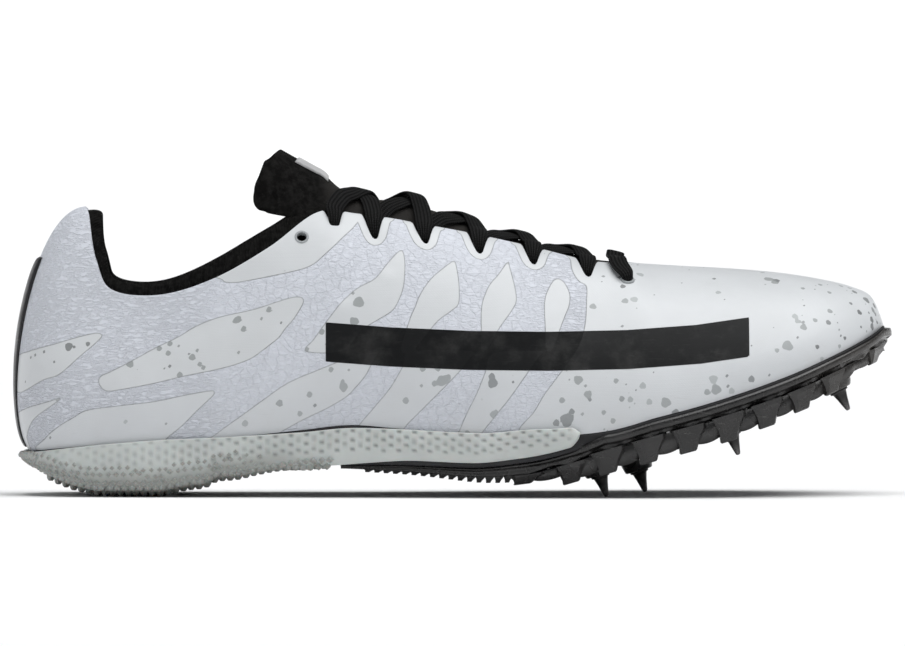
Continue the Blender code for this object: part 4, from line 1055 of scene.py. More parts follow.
# Rings round the holes: shares of EYELET_RADIUS, and millimetres out of the wall.
EYELET_PROFILE = (
    (0.92, -1.9), (0.92, 0.06), (0.99, 0.22), (1.12, 0.27), (1.26, 0.20), (1.34, 0.0), (1.34, -0.4),
)
TONGUE_ROUND = 0.93
PATCH_HALF = 0.26
STRIP_SPAN = (0.03, 0.69)
# Pits of the rubber in millimetres: first row, distance of the rows, their number and half sizes.
PIT_TOP = 2.3
PIT_ROW = 1.55
PIT_ROWS = 5
PIT_HALF_LENGTH = 0.78
PIT_HALF_WIDTH = 0.50
ARM_ROUND = 0.0035
# Teeth of the heel: rows up the side, the least size that is built and the clearance to the floor.
SIDE_ROWS = 6
LEAST_TOOTH = 0.12
TOOTH_CLEAR = 0.00003
# Blades of the plate: depth, length, width and lean by level, and the outline of a level.
BLADE_LEVELS = (
    (-0.12, 1.10, 1.10, 0.0), (0.10, 1.0, 1.0, 0.0), (0.42, 0.74, 0.70, 0.35), (0.74, 0.58, 0.44, 0.7),
    (0.94, 0.54, 0.28, 0.95), (1.0, 0.46, 0.16, 1.0),
)
BLADE_OUTLINE = (
    (-0.5, -0.3), (-0.34, -0.5), (0.38, -0.5), (0.5, -0.22), (0.5, 0.22), (0.38, 0.5), (-0.34, 0.5),
    (-0.5, 0.3),
)
LUGS_FROM = 0.585
FIELD_PITCH = 0.0115
SIDEWAYS = np.array([0.0, 1.0, 0.0])
# Skirt between the blades: way inward, its growth with the wave, share of the depth and lift.
SKIRT = (
    (0.0006, 0.0, 0.0, 0.0004), (0.0022, 0.0008, 0.6, 0.0), (0.0030, 0.0, 1.0, 0.0), (0.0046, 0.0, 0.96, 0.0),
    (0.0060, 0.0, 0.4, 0.0), (0.0066, 0.0, 0.0, 0.0004),
)
# Side of the plate: way outward, and share of its thickness from the top down.
PLATE_PROFILE = (
    (-0.0006, 0.0), (0.0, -0.02), (0.00035, 0.06), (0.00040, 0.16), (0.0001, 0.24), (-0.00055, 0.32),
    (-0.00065, 0.55), (-0.0002, 0.86), (-0.0004, 0.97), (-0.0012, 1.0),
)
TOE_REACH = 0.0010
# Spike well: shares of WELL_RADIUS and of its height, and a drop below that.
WELL_PROFILE = (
    (1.62, 1.0, 0.0004), (1.45, 0.86, 0.0), (1.28, 0.55, 0.0), (1.12, 0.2, 0.0), (1.02, 0.0, 0.0003),
    (0.94, 0.0, 0.0),
)


def notch_depth(s):
    """How deep the lace notches cut the edge of the upper at places s."""
    edge = upper_at(s, np.ones(len(s)))
    depth = np.zeros(len(s))
    for place in LACE_PLACES[:-1]:
        deep = NOTCH_DEPTH if place == LACE_PLACES[0] else NOTCH_CUT
        for side in FOOT_SIDES:
            middle = upper_at(side_place(np.array([place]), side), np.ones(1))[0]
            off = np.linalg.norm(edge - middle, axis=-1)
            near = np.abs(s - side_place(place, side)) < NOTCH_REACH
            rise = (NOTCH_WIDTH * NOTCH_MOUTH - off) / (NOTCH_WIDTH * NOTCH_SLANT)
            cut = 1 - np.log1p(np.exp((1 - rise) * NOTCH_FLOOR)) / NOTCH_FLOOR
            cut = np.log1p(np.exp(np.clip(cut, -3, 2) * NOTCH_LIP)) / NOTCH_LIP
            depth = np.maximum(depth, np.where(near, np.maximum(cut, 0) * deep, 0.0))
    return np.where(depth < NOTCH_LEAST, 0.0, depth)


def column_places():
    """Places of the upper's columns round the loop: the inner side has wider steps."""
    outer, inner = (
        np.concatenate([np.linspace(a, b, n, endpoint=False) for a, b, n in columns])
        for columns in (UPPER_COLUMNS, INNER_COLUMNS)
    )
    return np.concatenate([outer, [float(LAST)], LOOP - inner[::-1]])


def wall_grid(s, rows, top):
    """Places round the loop and up the wall, squeezed under the notched edge."""
    t = rows[None, :] - (1 - top)[:, None] * smooth(0.5, 1.0, rows)[None, :]
    return np.repeat(s[:, None], len(rows), axis=1), t


def crease_offset(points, strength):
    """Depth of the pressed creases at points, in metres."""
    places = side_view(points).reshape(-1, 2)
    depth = np.zeros(len(places))
    for start, end, width, deep in CREASES:
        start, end = np.array(start, float), np.array(end, float)
        bend = (start * 2 + end) / 3 + (CREASE_BEND, 0.0)
        off = to_segments(places, through([start, bend, end], 12))
        fold = np.exp(-((off / width) ** 2)) - 0.3 * np.exp(-(((off - width * 1.6) / width) ** 2))
        depth += fold * deep * strength / 1000
    return depth.reshape(points.shape[:-1])


def hole_places():
    """Centres of the four round lace holes, with their outward normals."""
    found = []
    for share, depth in ((FRONT_HOLE, FRONT_HOLE_EDGE), (SPARE_EYELET, EYELET_EDGE)):
        for side in FOOT_SIDES:
            s = np.array([float(side_place(throat_place(share), side))])
            t = 1 - depth / wall_length(s)
            found.append((upper_at(s, t)[0], upper_normal(s, t)[0]))
    return found


def open_holes(made, radius):
    """Opens round holes through a sheet and rounds their edges."""
    mesh = bmesh.new()
    mesh.from_mesh(made.data)
    for centre, normal in hole_places():
        centre, normal = Vector(centre), Vector(normal)

        def flat(point):
            away = point - centre
            return away - normal * away.dot(normal)

        near = [f for f in mesh.faces if (f.calc_center_median() - centre).length < radius * 2.2]
        gone = [f for f in near if flat(f.calc_center_median()).length < radius]
        bmesh.ops.delete(mesh, geom=gone, context="FACES")
        for vert in mesh.verts:
            if vert.is_boundary and (vert.co - centre).length < radius * 1.9:
                away = flat(vert.co)
                vert.co += away.normalized() * (radius - away.length)
    mesh.to_mesh(made.data)
    mesh.free()


def spot_layers(points, outer, film, sizes):
    """How far each point lies inside a paint spot, in millimetres, and how dark that spot is."""
    rng = np.random.default_rng(SPOT_SEED)
    place = side_view(points)
    best = np.full(len(points), -5.0)
    shade = np.zeros(len(points))
    pools = {side: np.nonzero((outer == side) & (film > SPOT_FILM))[0] for side in (True, False)}

    def nearest(side, u, h):
        pool = pools[side]
        return points[pool[np.argmin(np.linalg.norm(place[pool] - (u, h), axis=-1))]]

    spots = []
    for u, h, radius, dark in SPOTS:
        spots.append((nearest(True, u, h), radius, dark / 3, True))
        if rng.random() < INNER_SHARE:
            centre = nearest(False, u + rng.uniform(-14, 14), h + rng.uniform(-12, 12))
            spots.append((centre, radius * rng.uniform(0.7, 1.1), dark / 3, False))
    for _ in range(sizes.spots):
        toe = rng.random() < TOE_SHARE
        side = rng.random() < 0.5
        k = rng.choice(pools[side])
        u, h = place[k]
        if (toe and u < TOE_SPOTS_FROM) or (not toe and (u > TOE_SPOTS_FROM or h > HEEL_SPOTS_TO)):
            continue
        spots.append((points[k], 0.30 + rng.random() ** 3 * 0.95, rng.random() * 0.9, side))
    for centre, radius, dark, side in spots:
        near = np.abs(points[:, 0] - centre[0]) < radius / 1000 + 0.003
        near = np.nonzero((outer == side) & near)[0]
        away = points[near] - centre
        swing = np.arctan2(away[:, 2], away[:, 0] + away[:, 1] * 0.3)
        lumpy = 1 + 0.10 * np.sin(swing * 3 + radius * 9) + 0.05 * np.sin(swing * 5 + dark * 9)
        depth = radius * lumpy - np.linalg.norm(away, axis=-1) * 1000
        deeper = depth > best[near]
        best[near] = np.where(deeper, depth, best[near])
        shade[near] = np.where(deeper, dark, shade[near])
    return best, shade


def notch_film(flat, place, edge, depth, width):
    """How far points lie inside the film round the notches, in millimetres."""
    part = np.linspace(0, 1, 10, endpoint=False)[:, None, None]
    cut = edge[:-1] * (1 - part) + edge[1:] * part
    cut = cut[:, (depth[:-1] > FILM_FROM) | (depth[1:] > FILM_FROM)].reshape(-1, 3)
    high = np.tile(np.arange(len(flat) // len(edge)) > UPPER_ROWS * 0.55, len(edge))
    near = np.nonzero(high & (place[:, 0] > NOTCH_SPAN[0]) & (place[:, 0] < NOTCH_SPAN[1]))[0]
    distance = np.full(len(flat), 1.0)
    distance[near] = np.min(np.linalg.norm(flat[near, None] - cut[None], axis=-1), axis=1)
    return (width - distance) * 1000


def upper_layers(flat, t, outer, edge, depth, sizes):
    """The numbers that the upper's material reads: film, band, spots, painted shade low on the wall, and
    where dust and painted shade gather towards the bottom.
    """
    place = side_view(flat)
    u, h = place.T
    film = np.full(len(flat), -9.0)
    for outline in FILM_PANELS.values():
        film = np.maximum(film, inside_by(place, outline))
    film = np.maximum(film, notch_film(flat, place, edge, depth, sizes.film_rim))
    band = sizes.band_width * 500 - to_segments(place, BAND)
    ends = np.minimum(u - BAND[0][0] - 4, BAND[-1][0] - 4 - u) * SHOE_LENGTH
    spots, shade = spot_layers(flat, outer, film, sizes)
    heel = (1 - smooth(150, 260, u)) * (1 - smooth(150, 190, h))
    return {
        "film": film, "band": np.minimum(band, ends), "spots": spots, "shade": shade,
        # Painted shade low on the wall, stronger towards the heel.
        "low": (1 - smooth(0.0, 0.55, t)) * (0.55 + 0.45 * (1 - smooth(500, 700, u))),
        "cells": smooth(190, 260, u) * (1 - smooth(560, 640, u)),
        "speckled": 0.25 + 0.75 * np.maximum(smooth(640, 760, u), heel),
        "soil": 0.08 + 0.30 * (1 - smooth(0.0, 0.22, t)),
    # Dust and painted shade, more of both towards the bottom of the wall.
    }


def build_upper():
    """The wall of the shoe with its notches, holes, film, band, spots and creases, and its lining."""
    sizes, colours = settings()
    s = column_places()
    depth = notch_depth(s)
    top = 1 - depth / wall_length(s)
    S, t = wall_grid(s, np.linspace(0, 1, UPPER_ROWS), top)
    outside, normal = upper_at(S, t), upper_normal(S, t)
    outside = outside - normal * crease_offset(outside, sizes.crease)[..., None]
    edge = outside[:, -1]
    up = unit(edge - outside[:, -3])
    open_edge = ((s < FIRST_RIDGE) | (s > LOOP - FIRST_RIDGE))[:, None]
    wall = normal[:, -1] * SHELL_WALL
    rims = [np.where(open_edge, edge - wall * k + up * lift, edge) for k, lift in RIM_STEPS]
    points = np.concatenate([outside, np.stack(rims, axis=1)], axis=1)
    count = points.shape[1]
    t = np.concatenate([t, np.repeat(t[:, -1:], len(rims), axis=1)], axis=1).reshape(-1)
    flat = points.reshape(-1, 3)
    layers = upper_layers(flat, t, np.repeat(s <= LAST, count), edge, depth, sizes)
    shell = add_mesh("upper_shell", flat, grid_faces(len(s), count), upper_material(colours), layers)
    open_holes(shell, EYELET_RADIUS)
    finished(shell, ["upper"])

    S, t = wall_grid(s, np.linspace(1, 0, LINING_ROWS), top)
    inside = upper_at(S, t)
    inset = SHELL_WALL * np.minimum(1.0, np.abs(np.mod(S, LOOP) - LAST) / 0.6 + 0.25)
    inset = inset + crease_offset(inside, sizes.crease)
    inside = inside - upper_normal(S, t) * inset[..., None]
    inside[:, 0] = np.where(open_edge, rims[-1], inside[:, 0])
    material = knit_material("Lining_knit", colours.lining, 0.9, 0.10, colours)
    lining = add_mesh("upper_lining", inside, grid_faces(len(s), LINING_ROWS), material)
    open_holes(lining, EYELET_RADIUS)
    finished(lining, [])


def build_eyelets():
    """A pressed ring round each of the four round holes."""
    _, colours = settings()
    material = film_material("Eyelet_film", colours.eyelet, colours, 0.38)
    profile = through(EYELET_PROFILE, 22)
    angle = np.linspace(0, math.tau, 33)[:, None]
    across, out = profile[:, 0] * EYELET_RADIUS, profile[:, 1] / 1000
    ring = np.stack([across * np.cos(angle), across * np.sin(angle), out + angle * 0], axis=-1)
    rings = []
    for k, (centre, normal) in enumerate(hole_places()):
        turn = np.array(Vector((0, 0, 1)).rotation_difference(Vector(normal)).to_matrix())
        points, layers = centre + ring @ turn.T, {"edge": np.zeros(ring.shape[:2])}
        rings.append(add_mesh(f"eyelet_{k + 1}", points, grid_faces(*ring.shape[:2]), material, layers))
    finished(joined("eyelet_rings", rings), [])


def build_collar():
    """The padded roll round the ankle."""
    _, colours = settings()
    places = np.linspace(-ROLL_REACH, ROLL_REACH, 320)
    away = np.abs(places)
    slim = 1 - 0.72 * smooth(4.6, ROLL_END, away)
    tall = (1 + 0.75 * smooth(3.6, 5.6, away)) * (1 - 0.8 * smooth(ROLL_REACH - 0.5, ROLL_REACH, away))
    profile = through(ROLL, 44, closed=True)
    down, deep = profile[:, 0][None, :], profile[:, 1][None, :]
    low = down * ROLL_HEIGHT * tall[:, None] - ROLL_LIFT * smooth(0.0, 0.06, -down)
    depth = np.where(down > 0, down * ROLL_DEPTH, low)
    inward = np.where(deep > 0, deep * ROLL_THICKNESS * slim[:, None], deep * UPPER_WALL)
    inward = inward + UPPER_WALL + ROLL_GAP
    S = np.repeat(places[:, None], len(profile), axis=1)
    points = below_edge(np.mod(S, LOOP), depth, inward)
    run = lengths_along(points[:, 12])[:, None] * 1000
    wobble = np.cumsum(np.random.default_rng(3).normal(0, 1, (len(places), 1)), axis=0)
    flat = np.zeros(points.shape[:2])
    layers = {"along": flat + run + (wobble - wobble.mean()) * 0.02, "ribs": flat + 1, "worn": flat}
    material = pile_material("Collar_fabric", colours.pile, colours, 0.9)
    made = closed_loft("collar_binding", points, material, layers)
    finished(made, ["collar_roll"])


def film_sheet(name, face, normal, lift, under, edge, material):
    """A thin sheet over a grid of points, with a number that is 1 at its edge."""
    rows = np.concatenate([face + normal * lift[..., None], (face + normal * under)[:, ::-1]], axis=1)
    return closed_loft(name, rows, material, {"edge": np.concatenate([edge, edge[:, ::-1]], axis=1)})


def build_tongue():
    """The tongue, padded and free at its top, and the plain patch on its front."""
    _, colours = settings()
    low = np.linspace(HEEL_EDGE_END - TONGUE_FRONT, 0, 120, endpoint=False)
    q = np.concatenate([low, np.linspace(0, 1.0, 74)])
    Q, V = np.meshgrid(q, np.linspace(-1, 1, 61), indexing="ij")
    face = tongue_face(Q, V)
    normal = tongue_normal(np.minimum(Q, 0.98), V)
    thick = TONGUE_THICKNESS * (1 - 0.5 * V**6)
    tip = np.sqrt(1 - np.clip((Q - TONGUE_ROUND) / (1 - TONGUE_ROUND), 0, 1) ** 2)
    full = np.sqrt(np.clip(1 - V**10, 0, 1)) * np.maximum(tip, 0.04)
    front, back = (face - normal * (thick * 0.5 * (1 + way * full))[..., None] for way in (-1, 1))
    rows = np.concatenate([front, back[:, ::-1][:, 1:-1]], axis=1)
    worn = 1 - smooth(-0.6, 0.05, Q)
    worn = np.concatenate([worn, worn[:, ::-1][:, 1:-1]], axis=1) * 0.85
    layers = {"along": worn * 0, "ribs": worn * 0, "worn": worn}
    made = closed_loft("tongue_pad", rows, pile_material("Tongue_fabric", colours.pile, colours, 1.5), layers)
    finished(made, ["tongue"])

    v = np.linspace(-PATCH_HALF, PATCH_HALF, 41)
    Q, V = np.meshgrid(np.linspace(PATCH_FROM, PATCH_TO, 60), v, indexing="ij")
    edge = np.maximum(np.abs(V) / PATCH_HALF, np.abs(2 * Q - PATCH_FROM - PATCH_TO) / (PATCH_TO - PATCH_FROM))
    lift = GAP * 0.5 + PATCH_THICKNESS * np.sqrt(np.clip(1 - edge**14, 0, 1))
    material = film_material("Patch_film", colours.patch, colours, 0.5)
    made = film_sheet("patch_film", tongue_face(Q, V), tongue_normal(Q, V), lift, GAP * 0.2, edge, material)
    finished(made, ["tongue_patch"])


def build_heel_strip():
    """The strip up the back of the heel, thicker along its middle."""
    _, colours = settings()
    low, high = STRIP_SPAN
    t = np.linspace(low, high, 90)
    T, W = np.meshgrid(t, np.linspace(-1, 1, 33), indexing="ij")
    reach = np.linalg.norm(upper_at(np.full(len(t), 0.5), t) - upper_at(np.zeros(len(t)), t), axis=-1)
    S = np.mod(-W * (STRIP_WIDTH / 4 / reach)[:, None], LOOP)
    edge = np.maximum(np.abs(W), np.abs(2 * T - low - high) / (high - low))
    lift = (1 - 0.4 * W**2) * np.sqrt(np.clip(1 - edge**12, 0, 1)) * (1 - 0.55 * smooth(0.5, 0.2, T))
    lift = GAP + STRIP_THICKNESS * lift
    material = film_material("Strip_film", colours.strip, colours, 0.34)
    made = film_sheet("heel_strip_film", upper_at(S, T), upper_normal(S, T), lift, GAP * 0.3, edge, material)
    finished(made, ["heel_strip"])


def both_edges(s, outward, height):
    """Points on the sole's edge on both sides at s, with their height worked out from their place."""
    found = []
    for side in FOOT_SIDES:
        edge = base_at(side_place(s, side), outward)
        edge[:, 2] = height(share_of(edge[:, 0]))
        found.append(edge)
    return found


def build_insole():
    """The sock liner, a little raised along its edge."""
    _, colours = settings()
    s = np.linspace(0.02, LAST - 0.02, 160)
    inset = UPPER_WALL + INSOLE_GAP + INSOLE_TOE_GAP * smooth(0.93, 0.99, share_of(controls_at(s)[:, 0, 0]))
    outer, inner = both_edges(s, -inset, joint_height)
    v = np.linspace(0, 1, 33)[None, :, None]
    flat = outer[:, None] * (1 - v) + inner[:, None] * v
    rim = np.abs(2 * v[..., 0] - 1) * np.ones((len(s), 1))
    top = flat.copy()
    top[..., 2] += INSOLE_THICKNESS * (0.80 + 0.20 * rim**3) * np.sqrt(np.clip(1 - rim**20, 0, 1))
    rows = np.concatenate([top, flat[:, ::-1]], axis=1)
    made = closed_loft("sock_liner", rows, knit_material("Insole_cover", colours.insole, 0.7, 0.12, colours))
    finished(made, ["insole"])


def core_bottom(share):
    return underside(share) + np.where(share < CUP_FLOOR_END + CORE_STEP * 1.5, CUP_FLOOR + GAP, 0.0)


def build_foam():
    """The foam between upper and sole, its skinned edge slightly rounded."""
    _, colours = settings()
    s = np.linspace(0.01, LAST - 0.005, 380)
    share = share_of(base_at(s)[:, 0])
    proud = 0.00045 * smooth(CUP_END - 0.03, CUP_END + 0.03, share) + 0.0001
    rims = []
    for u in np.linspace(0, 1, 9):

        def height(where):
            return core_bottom(where) * (1 - u) + (joint_height(where) - GAP * 0.5) * u

        rims.append(both_edges(s, (math.sqrt(1 - (2 * u - 1) ** 4) - 0.3) * proud, height))
    outer, inner = np.array(rims).transpose(1, 2, 0, 3)
    rows = np.concatenate([outer, inner[:, ::-1]], axis=1)
    finished(closed_loft("foam_core", rows, foam_material(colours)), ["midsole_foam"])


def cup_profile(s):
    """The rubber's section at places s, from its inner rim over the bulge to the floor inside."""
    share = share_of(base_at(s)[:, 0])
    lap = smooth_table(RIM_LAP, share) * FOREFOOT_FOAM
    flare = GAP + np.maximum(lap, 0.0) * 0.25
    rim = joint_height(share) + lap
    heel = 1 - smooth(0.22, 0.36, share)
    turn = CUP_TURN * heel
    section = (
        (flare, 1.0, 0.0), (CUP_RIM * 0.55 + flare, 1.03, 0.0), (CUP_RIM + flare, 0.96, 0.0),
        (CUP_RIM + flare + CUP_BULGE, 0.55, 0.0), (CUP_RIM - 0.0006 * heel, 0.16, 0.0),
        (CUP_RIM * 0.4 - turn * 0.45, 0.0, HEEL_ROUND * heel), (GAP - turn, 0.0, HEEL_ROUND * 0.9 * heel),
        (GAP, 0.0, CUP_FLOOR),
    )
    points = []
    for outward, height, lift in section:
        point = base_at(s, outward * np.ones(len(s)))
        where = share_of(point[:, 0])
        low = underside(where) + ARM_CUT * smooth(0.36, 0.46, where)
        point[:, 2] = low + (rim - low) * height + lift
        points.append(point)
    return np.stack(points, axis=1)


def pit_depths(down, run, pitch):
    """Depth of the rubber's pits, from 0 to 1, in staggered rows: lengths are in millimetres."""
    nearest = np.clip(np.round((down - PIT_TOP) / PIT_ROW), 0, PIT_ROWS - 1)
    across = down - PIT_TOP - nearest * PIT_ROW
    shift = run[:, None] / pitch + 0.5 * np.mod(nearest, 2)
    along_row = (shift - np.round(shift)) * pitch
    return np.exp(-((along_row / PIT_HALF_LENGTH) ** 4) - ((across / PIT_HALF_WIDTH) ** 4))


def cup_wall(sizes, material):
    """The rubber's wall with its pits, from the end of one arm round the heel to the other."""
    end = base_place(CUP_END)
    s = np.mod(np.linspace(-end, end, 860), LOOP)
    controls = cup_profile(s)
    wall = np.stack([through(row[:-1], 30) for row in controls])
    inner = controls[:, -1:]
    share = share_of(base_at(s)[:, 0])
    left = (CUP_END - share) * SHOE_LENGTH
    round_end = np.sqrt(np.clip(1 - (1 - np.clip(left / ARM_ROUND, 0, 1)) ** 2, 0.02, 1))[:, None, None]
    middle = wall[:, 8:9]
    rows = middle + (np.concatenate([wall, inner], axis=1) - middle) * round_end
    left = left[:, None] * 1000
    down = np.stack([lengths_along(row) for row in rows]) * 1000
    pit = pit_depths(down, lengths_along(base_at(s)) * 1000, sizes.pit_pitch * 1000)
    total = np.linalg.norm(controls[:, 2] - controls[:, 5], axis=-1)[:, None] * 1000
    pit = pit * smooth(2.0, 4.5, left) * (down < np.maximum(total - 0.2, 3.2))
    pit = pit * (0.45 + 0.55 * smooth(0.10, 0.30, share))[:, None]
    out = unit(np.cross(np.gradient(rows, axis=0), np.gradient(rows, axis=1)))
    out = out * np.sign(np.sum(out * (rows - inner), axis=-1))[..., None]
    rows = rows - out * (pit * sizes.pit_depth)[..., None]
    # Where the painted highlight lies: along the top rim and at the arms' rounded ends.
    lip = np.maximum(1 - smooth(1.0, 1.9, down), (1 - smooth(0.6, 2.6, left)) * 0.9)
    heel = (1 - smooth(0.26, 0.36, share))[:, None]
    # Soil and painted shade towards the bottom of the wall, at the heel.
    ground = smooth(-7.0, -0.5, down - down[:, 20:21]) * heel * 0.75
    return closed_loft("heel_rubber", rows, material, {"pit": pit, "lip": lip * 0.35, "ground": ground})


def plain_rubber(ground):
    """The numbers that the rubber's material reads, for a piece without pits."""
    ground = np.asarray(ground, float)
    return {"pit": ground * 0, "lip": ground * 0, "ground": ground}


def build_cup():
    """The rubber tub round the heel with its pits, rounded arms and fine toothed tread."""
    sizes, colours = settings()
    material = rubber_material(colours)
    end = base_place(CUP_FLOOR_END)
    outer, inner = (cup_profile(side_place(np.linspace(0.06, end, 90), side))[:, 6] for side in FOOT_SIDES)
    v = np.linspace(0, 1, 25)[None, :, None]
    slab = outer[:, None] * (1 - v) + inner[:, None] * v
    level = underside(share_of(slab[..., 0])) - 0.00005
    slab[..., 2] = level + HEEL_ROUND * 0.9 * smooth(0.66, 1.0, np.abs(2 * v[..., 0] - 1))
    rows = np.concatenate([slab, (slab + (0, 0, CUP_FLOOR))[:, ::-1]], axis=1)
    pieces = [
        cup_wall(sizes, material),
        # Soil and painted shade over the whole tread under the heel.
        closed_loft("heel_tread", rows, material, plain_rubber(np.full(rows.shape[:2], 0.6))),
        tread_teeth(outer, inner, sizes.nub_pitch, material),
        side_teeth(np.mod(np.linspace(-end, end, 400), LOOP), sizes.nub_pitch, material),
    ]
    finished(joined("heel_rubber", pieces), ["heel_cup"])


def tooth(teeth, place, ways, pitch, height):
    """One small four sided tooth, standing out along the first of three directions."""
    points, faces, ground = teeth
    out, run, over = ways
    start = len(points)
    # The third number of each level is its share of soil and painted shade, most at the tip.
    for grow, rise, level in ((0.47, -0.0004, 0.2), (0.40, height * 0.55, 0.6), (0.22, height, 1.0)):
        for dx, dy in ((-1, 0), (0, -1), (1, 0), (0, 1)):
            points.append(place + out * rise + (run * dx + over * dy) * grow * pitch * 1.15)
            ground.append(level)
    faces += grid_faces(3, 4, loop=True, start=start).tolist() + [[start + 8 + i for i in range(4)]]


def flat_shaded(name, points, faces, material, layers):
    made = add_mesh(name, points, faces, material, layers, closed=True)
    made.data.shade_flat()
    return made


def side_teeth(s, pitch, material):
    """Rows of teeth up the side of the heel, smaller the higher they stand."""
    controls = cup_profile(s)
    wall = np.stack([through(row[:-1], 40) for row in controls])
    down = np.stack([lengths_along(row) for row in wall])
    run_length = lengths_along(wall[:, 20])
    teeth = points, faces, ground = [], [], []
    for row in range(SIDE_ROWS):
        for at in np.arange(pitch * (0.5 if row % 2 else 1.0), run_length[-1], pitch):
            i = int(np.interp(at, run_length, np.arange(len(s))))
            share = float(share_of(wall[i, 20, 0]))
            fade = 1 - float(smooth(0.22, 0.35, share)) * (row > 1) - 0.14 * row
            fade *= 1 - float(smooth(0.10, 0.0, share)) * 0.2
            if fade < LEAST_TOOTH or i + 1 >= len(s):
                continue
            reach = down[i, -1] - (0.0004 + row * pitch * 0.86)
            j = int(np.clip(np.interp(reach, down[i], np.arange(40)), 1, 38))
            place = wall[i, j]
            run, over = unit(wall[i + 1, j] - place), unit(wall[i, j + 1] - wall[i, j - 1])
            out = unit(np.cross(run, over))
            out = -out if np.dot(out, place - controls[i, -1] - (0, 0, 0.002)) < 0 else out
            tooth(teeth, place, (out, run, over), pitch * (0.6 + 0.4 * fade), NUB_HEIGHT * 0.95 * fade)
    return flat_shaded("side_teeth", points, faces, material, plain_rubber(np.array(ground) * 0.9))


def tread_teeth(outer, inner, pitch, material):
    """Small flat-topped teeth in staggered rows under the heel."""
    order = np.argsort(outer[:, 0])
    teeth = points, faces, ground = [], [], []
    ways = np.array([(0, 0, -1.0), (1.0, 0, 0), (0, 1.0, 0)])
    for k, x in enumerate(np.arange(outer[:, 0].min() + pitch, outer[:, 0].max() - pitch / 2, pitch)):
        low, high = (np.interp(x, outer[order, 0], edge[order, 1]) for edge in (outer, inner))
        low, high = low - pitch * 0.6, high + pitch * 0.6
        count = max(int((high - low) / pitch), 1)
        for j in range(count):
            y = low + (high - low) * (j + (0.75 if k % 2 else 0.25)) / count
            turned_up = float(smooth(0.66, 1.0, abs(2 * (y - low) / (high - low) - 1)))
            z = float(underside(share_of(x))) + HEEL_ROUND * 0.9 * turned_up + TOOTH_CLEAR
            tooth(teeth, np.array([x, y, z]), ways, pitch, NUB_HEIGHT)
    return flat_shaded("teeth", points, faces, material, plain_rubber(ground))


def spike_seat(row):
    """Centre of the spike's base and the direction that it points."""
    _, share, over, on_floor = row
    slope = float(slope_at(share))
    axis = Vector((slope, 0, -1)).normalized()
    if on_floor:
        height = SPIKE_TIP_RADIUS * abs(axis.x)
    else:
        height = float(plate_bottom(share)) - (FRONT_WELL_DEPTH + SPIKE_LENGTH) * (1 + slope**2) ** 0.5
    return Vector((along(share), over * BALL_WIDTH, height)) - axis * SPIKE_LENGTH, axis


def turned(name, profile, centre, axis, material, layers, steps=48):
    """A turned piece: a profile of (radius, distance along the axis), turned round the axis."""
    data = bpy.data.meshes.new(name)
    data.from_pydata([(r, 0, -z) for r, z in profile], [(i, i + 1) for i in range(len(profile) - 1)], [])
    for layer, values in layers.items():
        data.attributes.new(layer, "FLOAT", "POINT").data.foreach_set("value", values)
    made = bpy.data.objects.new(name, data)
    bpy.context.scene.collection.objects.link(made)
    screw = made.modifiers.new("turned", "SCREW")
    screw.steps = screw.render_steps = steps
    screw.use_merge_vertices = True
    screw.merge_threshold = 1e-5
    graph = bpy.context.evaluated_depsgraph_get()
    graph.update()
    made.data = bpy.data.meshes.new_from_object(made.evaluated_get(graph))
    made.modifiers.clear()
    turn = Vector((0, 0, -1)).rotation_difference(axis).to_matrix().to_4x4()
    made.data.transform(Matrix.Translation(centre) @ turn)
    mesh = bmesh.new()
    mesh.from_mesh(made.data)
    bmesh.ops.recalc_face_normals(mesh, faces=mesh.faces)
    mesh.to_mesh(made.data)
    mesh.free()
    made.data.shade_smooth()
    made.data.materials.append(material)
    return made


def build_spikes():
    """Six turned spikes with a flange, a narrower neck and a worn tip."""
    _, colours = settings()
    material = steel_material(colours)
    f, b, t, n = SPIKE_FLANGE_RADIUS, SPIKE_BASE_RADIUS, SPIKE_TIP_RADIUS, SPIKE_LENGTH
    profile = [
        (0.0, -SPIKE_FLANGE), (f * 0.94, -SPIKE_FLANGE), (f, -SPIKE_FLANGE * 0.85), (f, -SPIKE_FLANGE * 0.25),
        (f * 0.93, 0.0), (b * 1.02, 0.0), (b * 0.93, 0.0003), (b * 0.86, 0.0009), (b * 0.70, n * 0.34),
        (b * 0.55, n * 0.58), (t * 1.25, n * 0.88), (t, n * 0.95), (t * 0.80, n * 0.985),
        (t * 0.4, n * 0.999), (0.0, n),
    ]
    tips = [float(smooth(0.35, 0.95, z / n)) for _, z in profile]
    for row in SPIKES:
        made = turned(f"{row[0]}_steel", profile, *spike_seat(row), material, {"tip": tips})
        finished(made, [row[0]])


def blade(lugs, root, ways, size):
    """A lug: wide where it grows from the plate, narrowing to an edge that leans back."""
    points, faces = lugs
    down, run, over = ways
    length_of_lug, width, depth, lean = size
    start = len(points)
    for rise, long_share, wide_share, slide in BLADE_LEVELS:
        middle = root + down * depth * rise + run * lean * slide
        for a, c in BLADE_OUTLINE:
            points.append(middle + run * length_of_lug * long_share * a + over * width * wide_share * c)
    faces += grid_faces(len(BLADE_LEVELS), 8, loop=True, start=start).tolist()
    faces.append([start + (len(BLADE_LEVELS) - 1) * 8 + i for i in range(8)])


def clear_of_spikes(place, reach):
    return all(
        math.hypot(place[0] - along(share), place[1] - over * BALL_WIDTH) > WELL_RADIUS + reach
        for _, share, over, _ in SPIKES
    )


def lug_depth(share):
    return LUG_DEPTH * float(smooth_table(LUGS, share))


def under_plate(x, y):
    """The point of the plate's underside at a place in plan, the direction down from it and along it."""
    share = share_of(x)
    run = unit(np.array([1.0, 0.0, float(slope_at(share))]))
    return np.array([x, y, float(plate_bottom(share))]), np.array([run[2], 0.0, -run[0]]), run


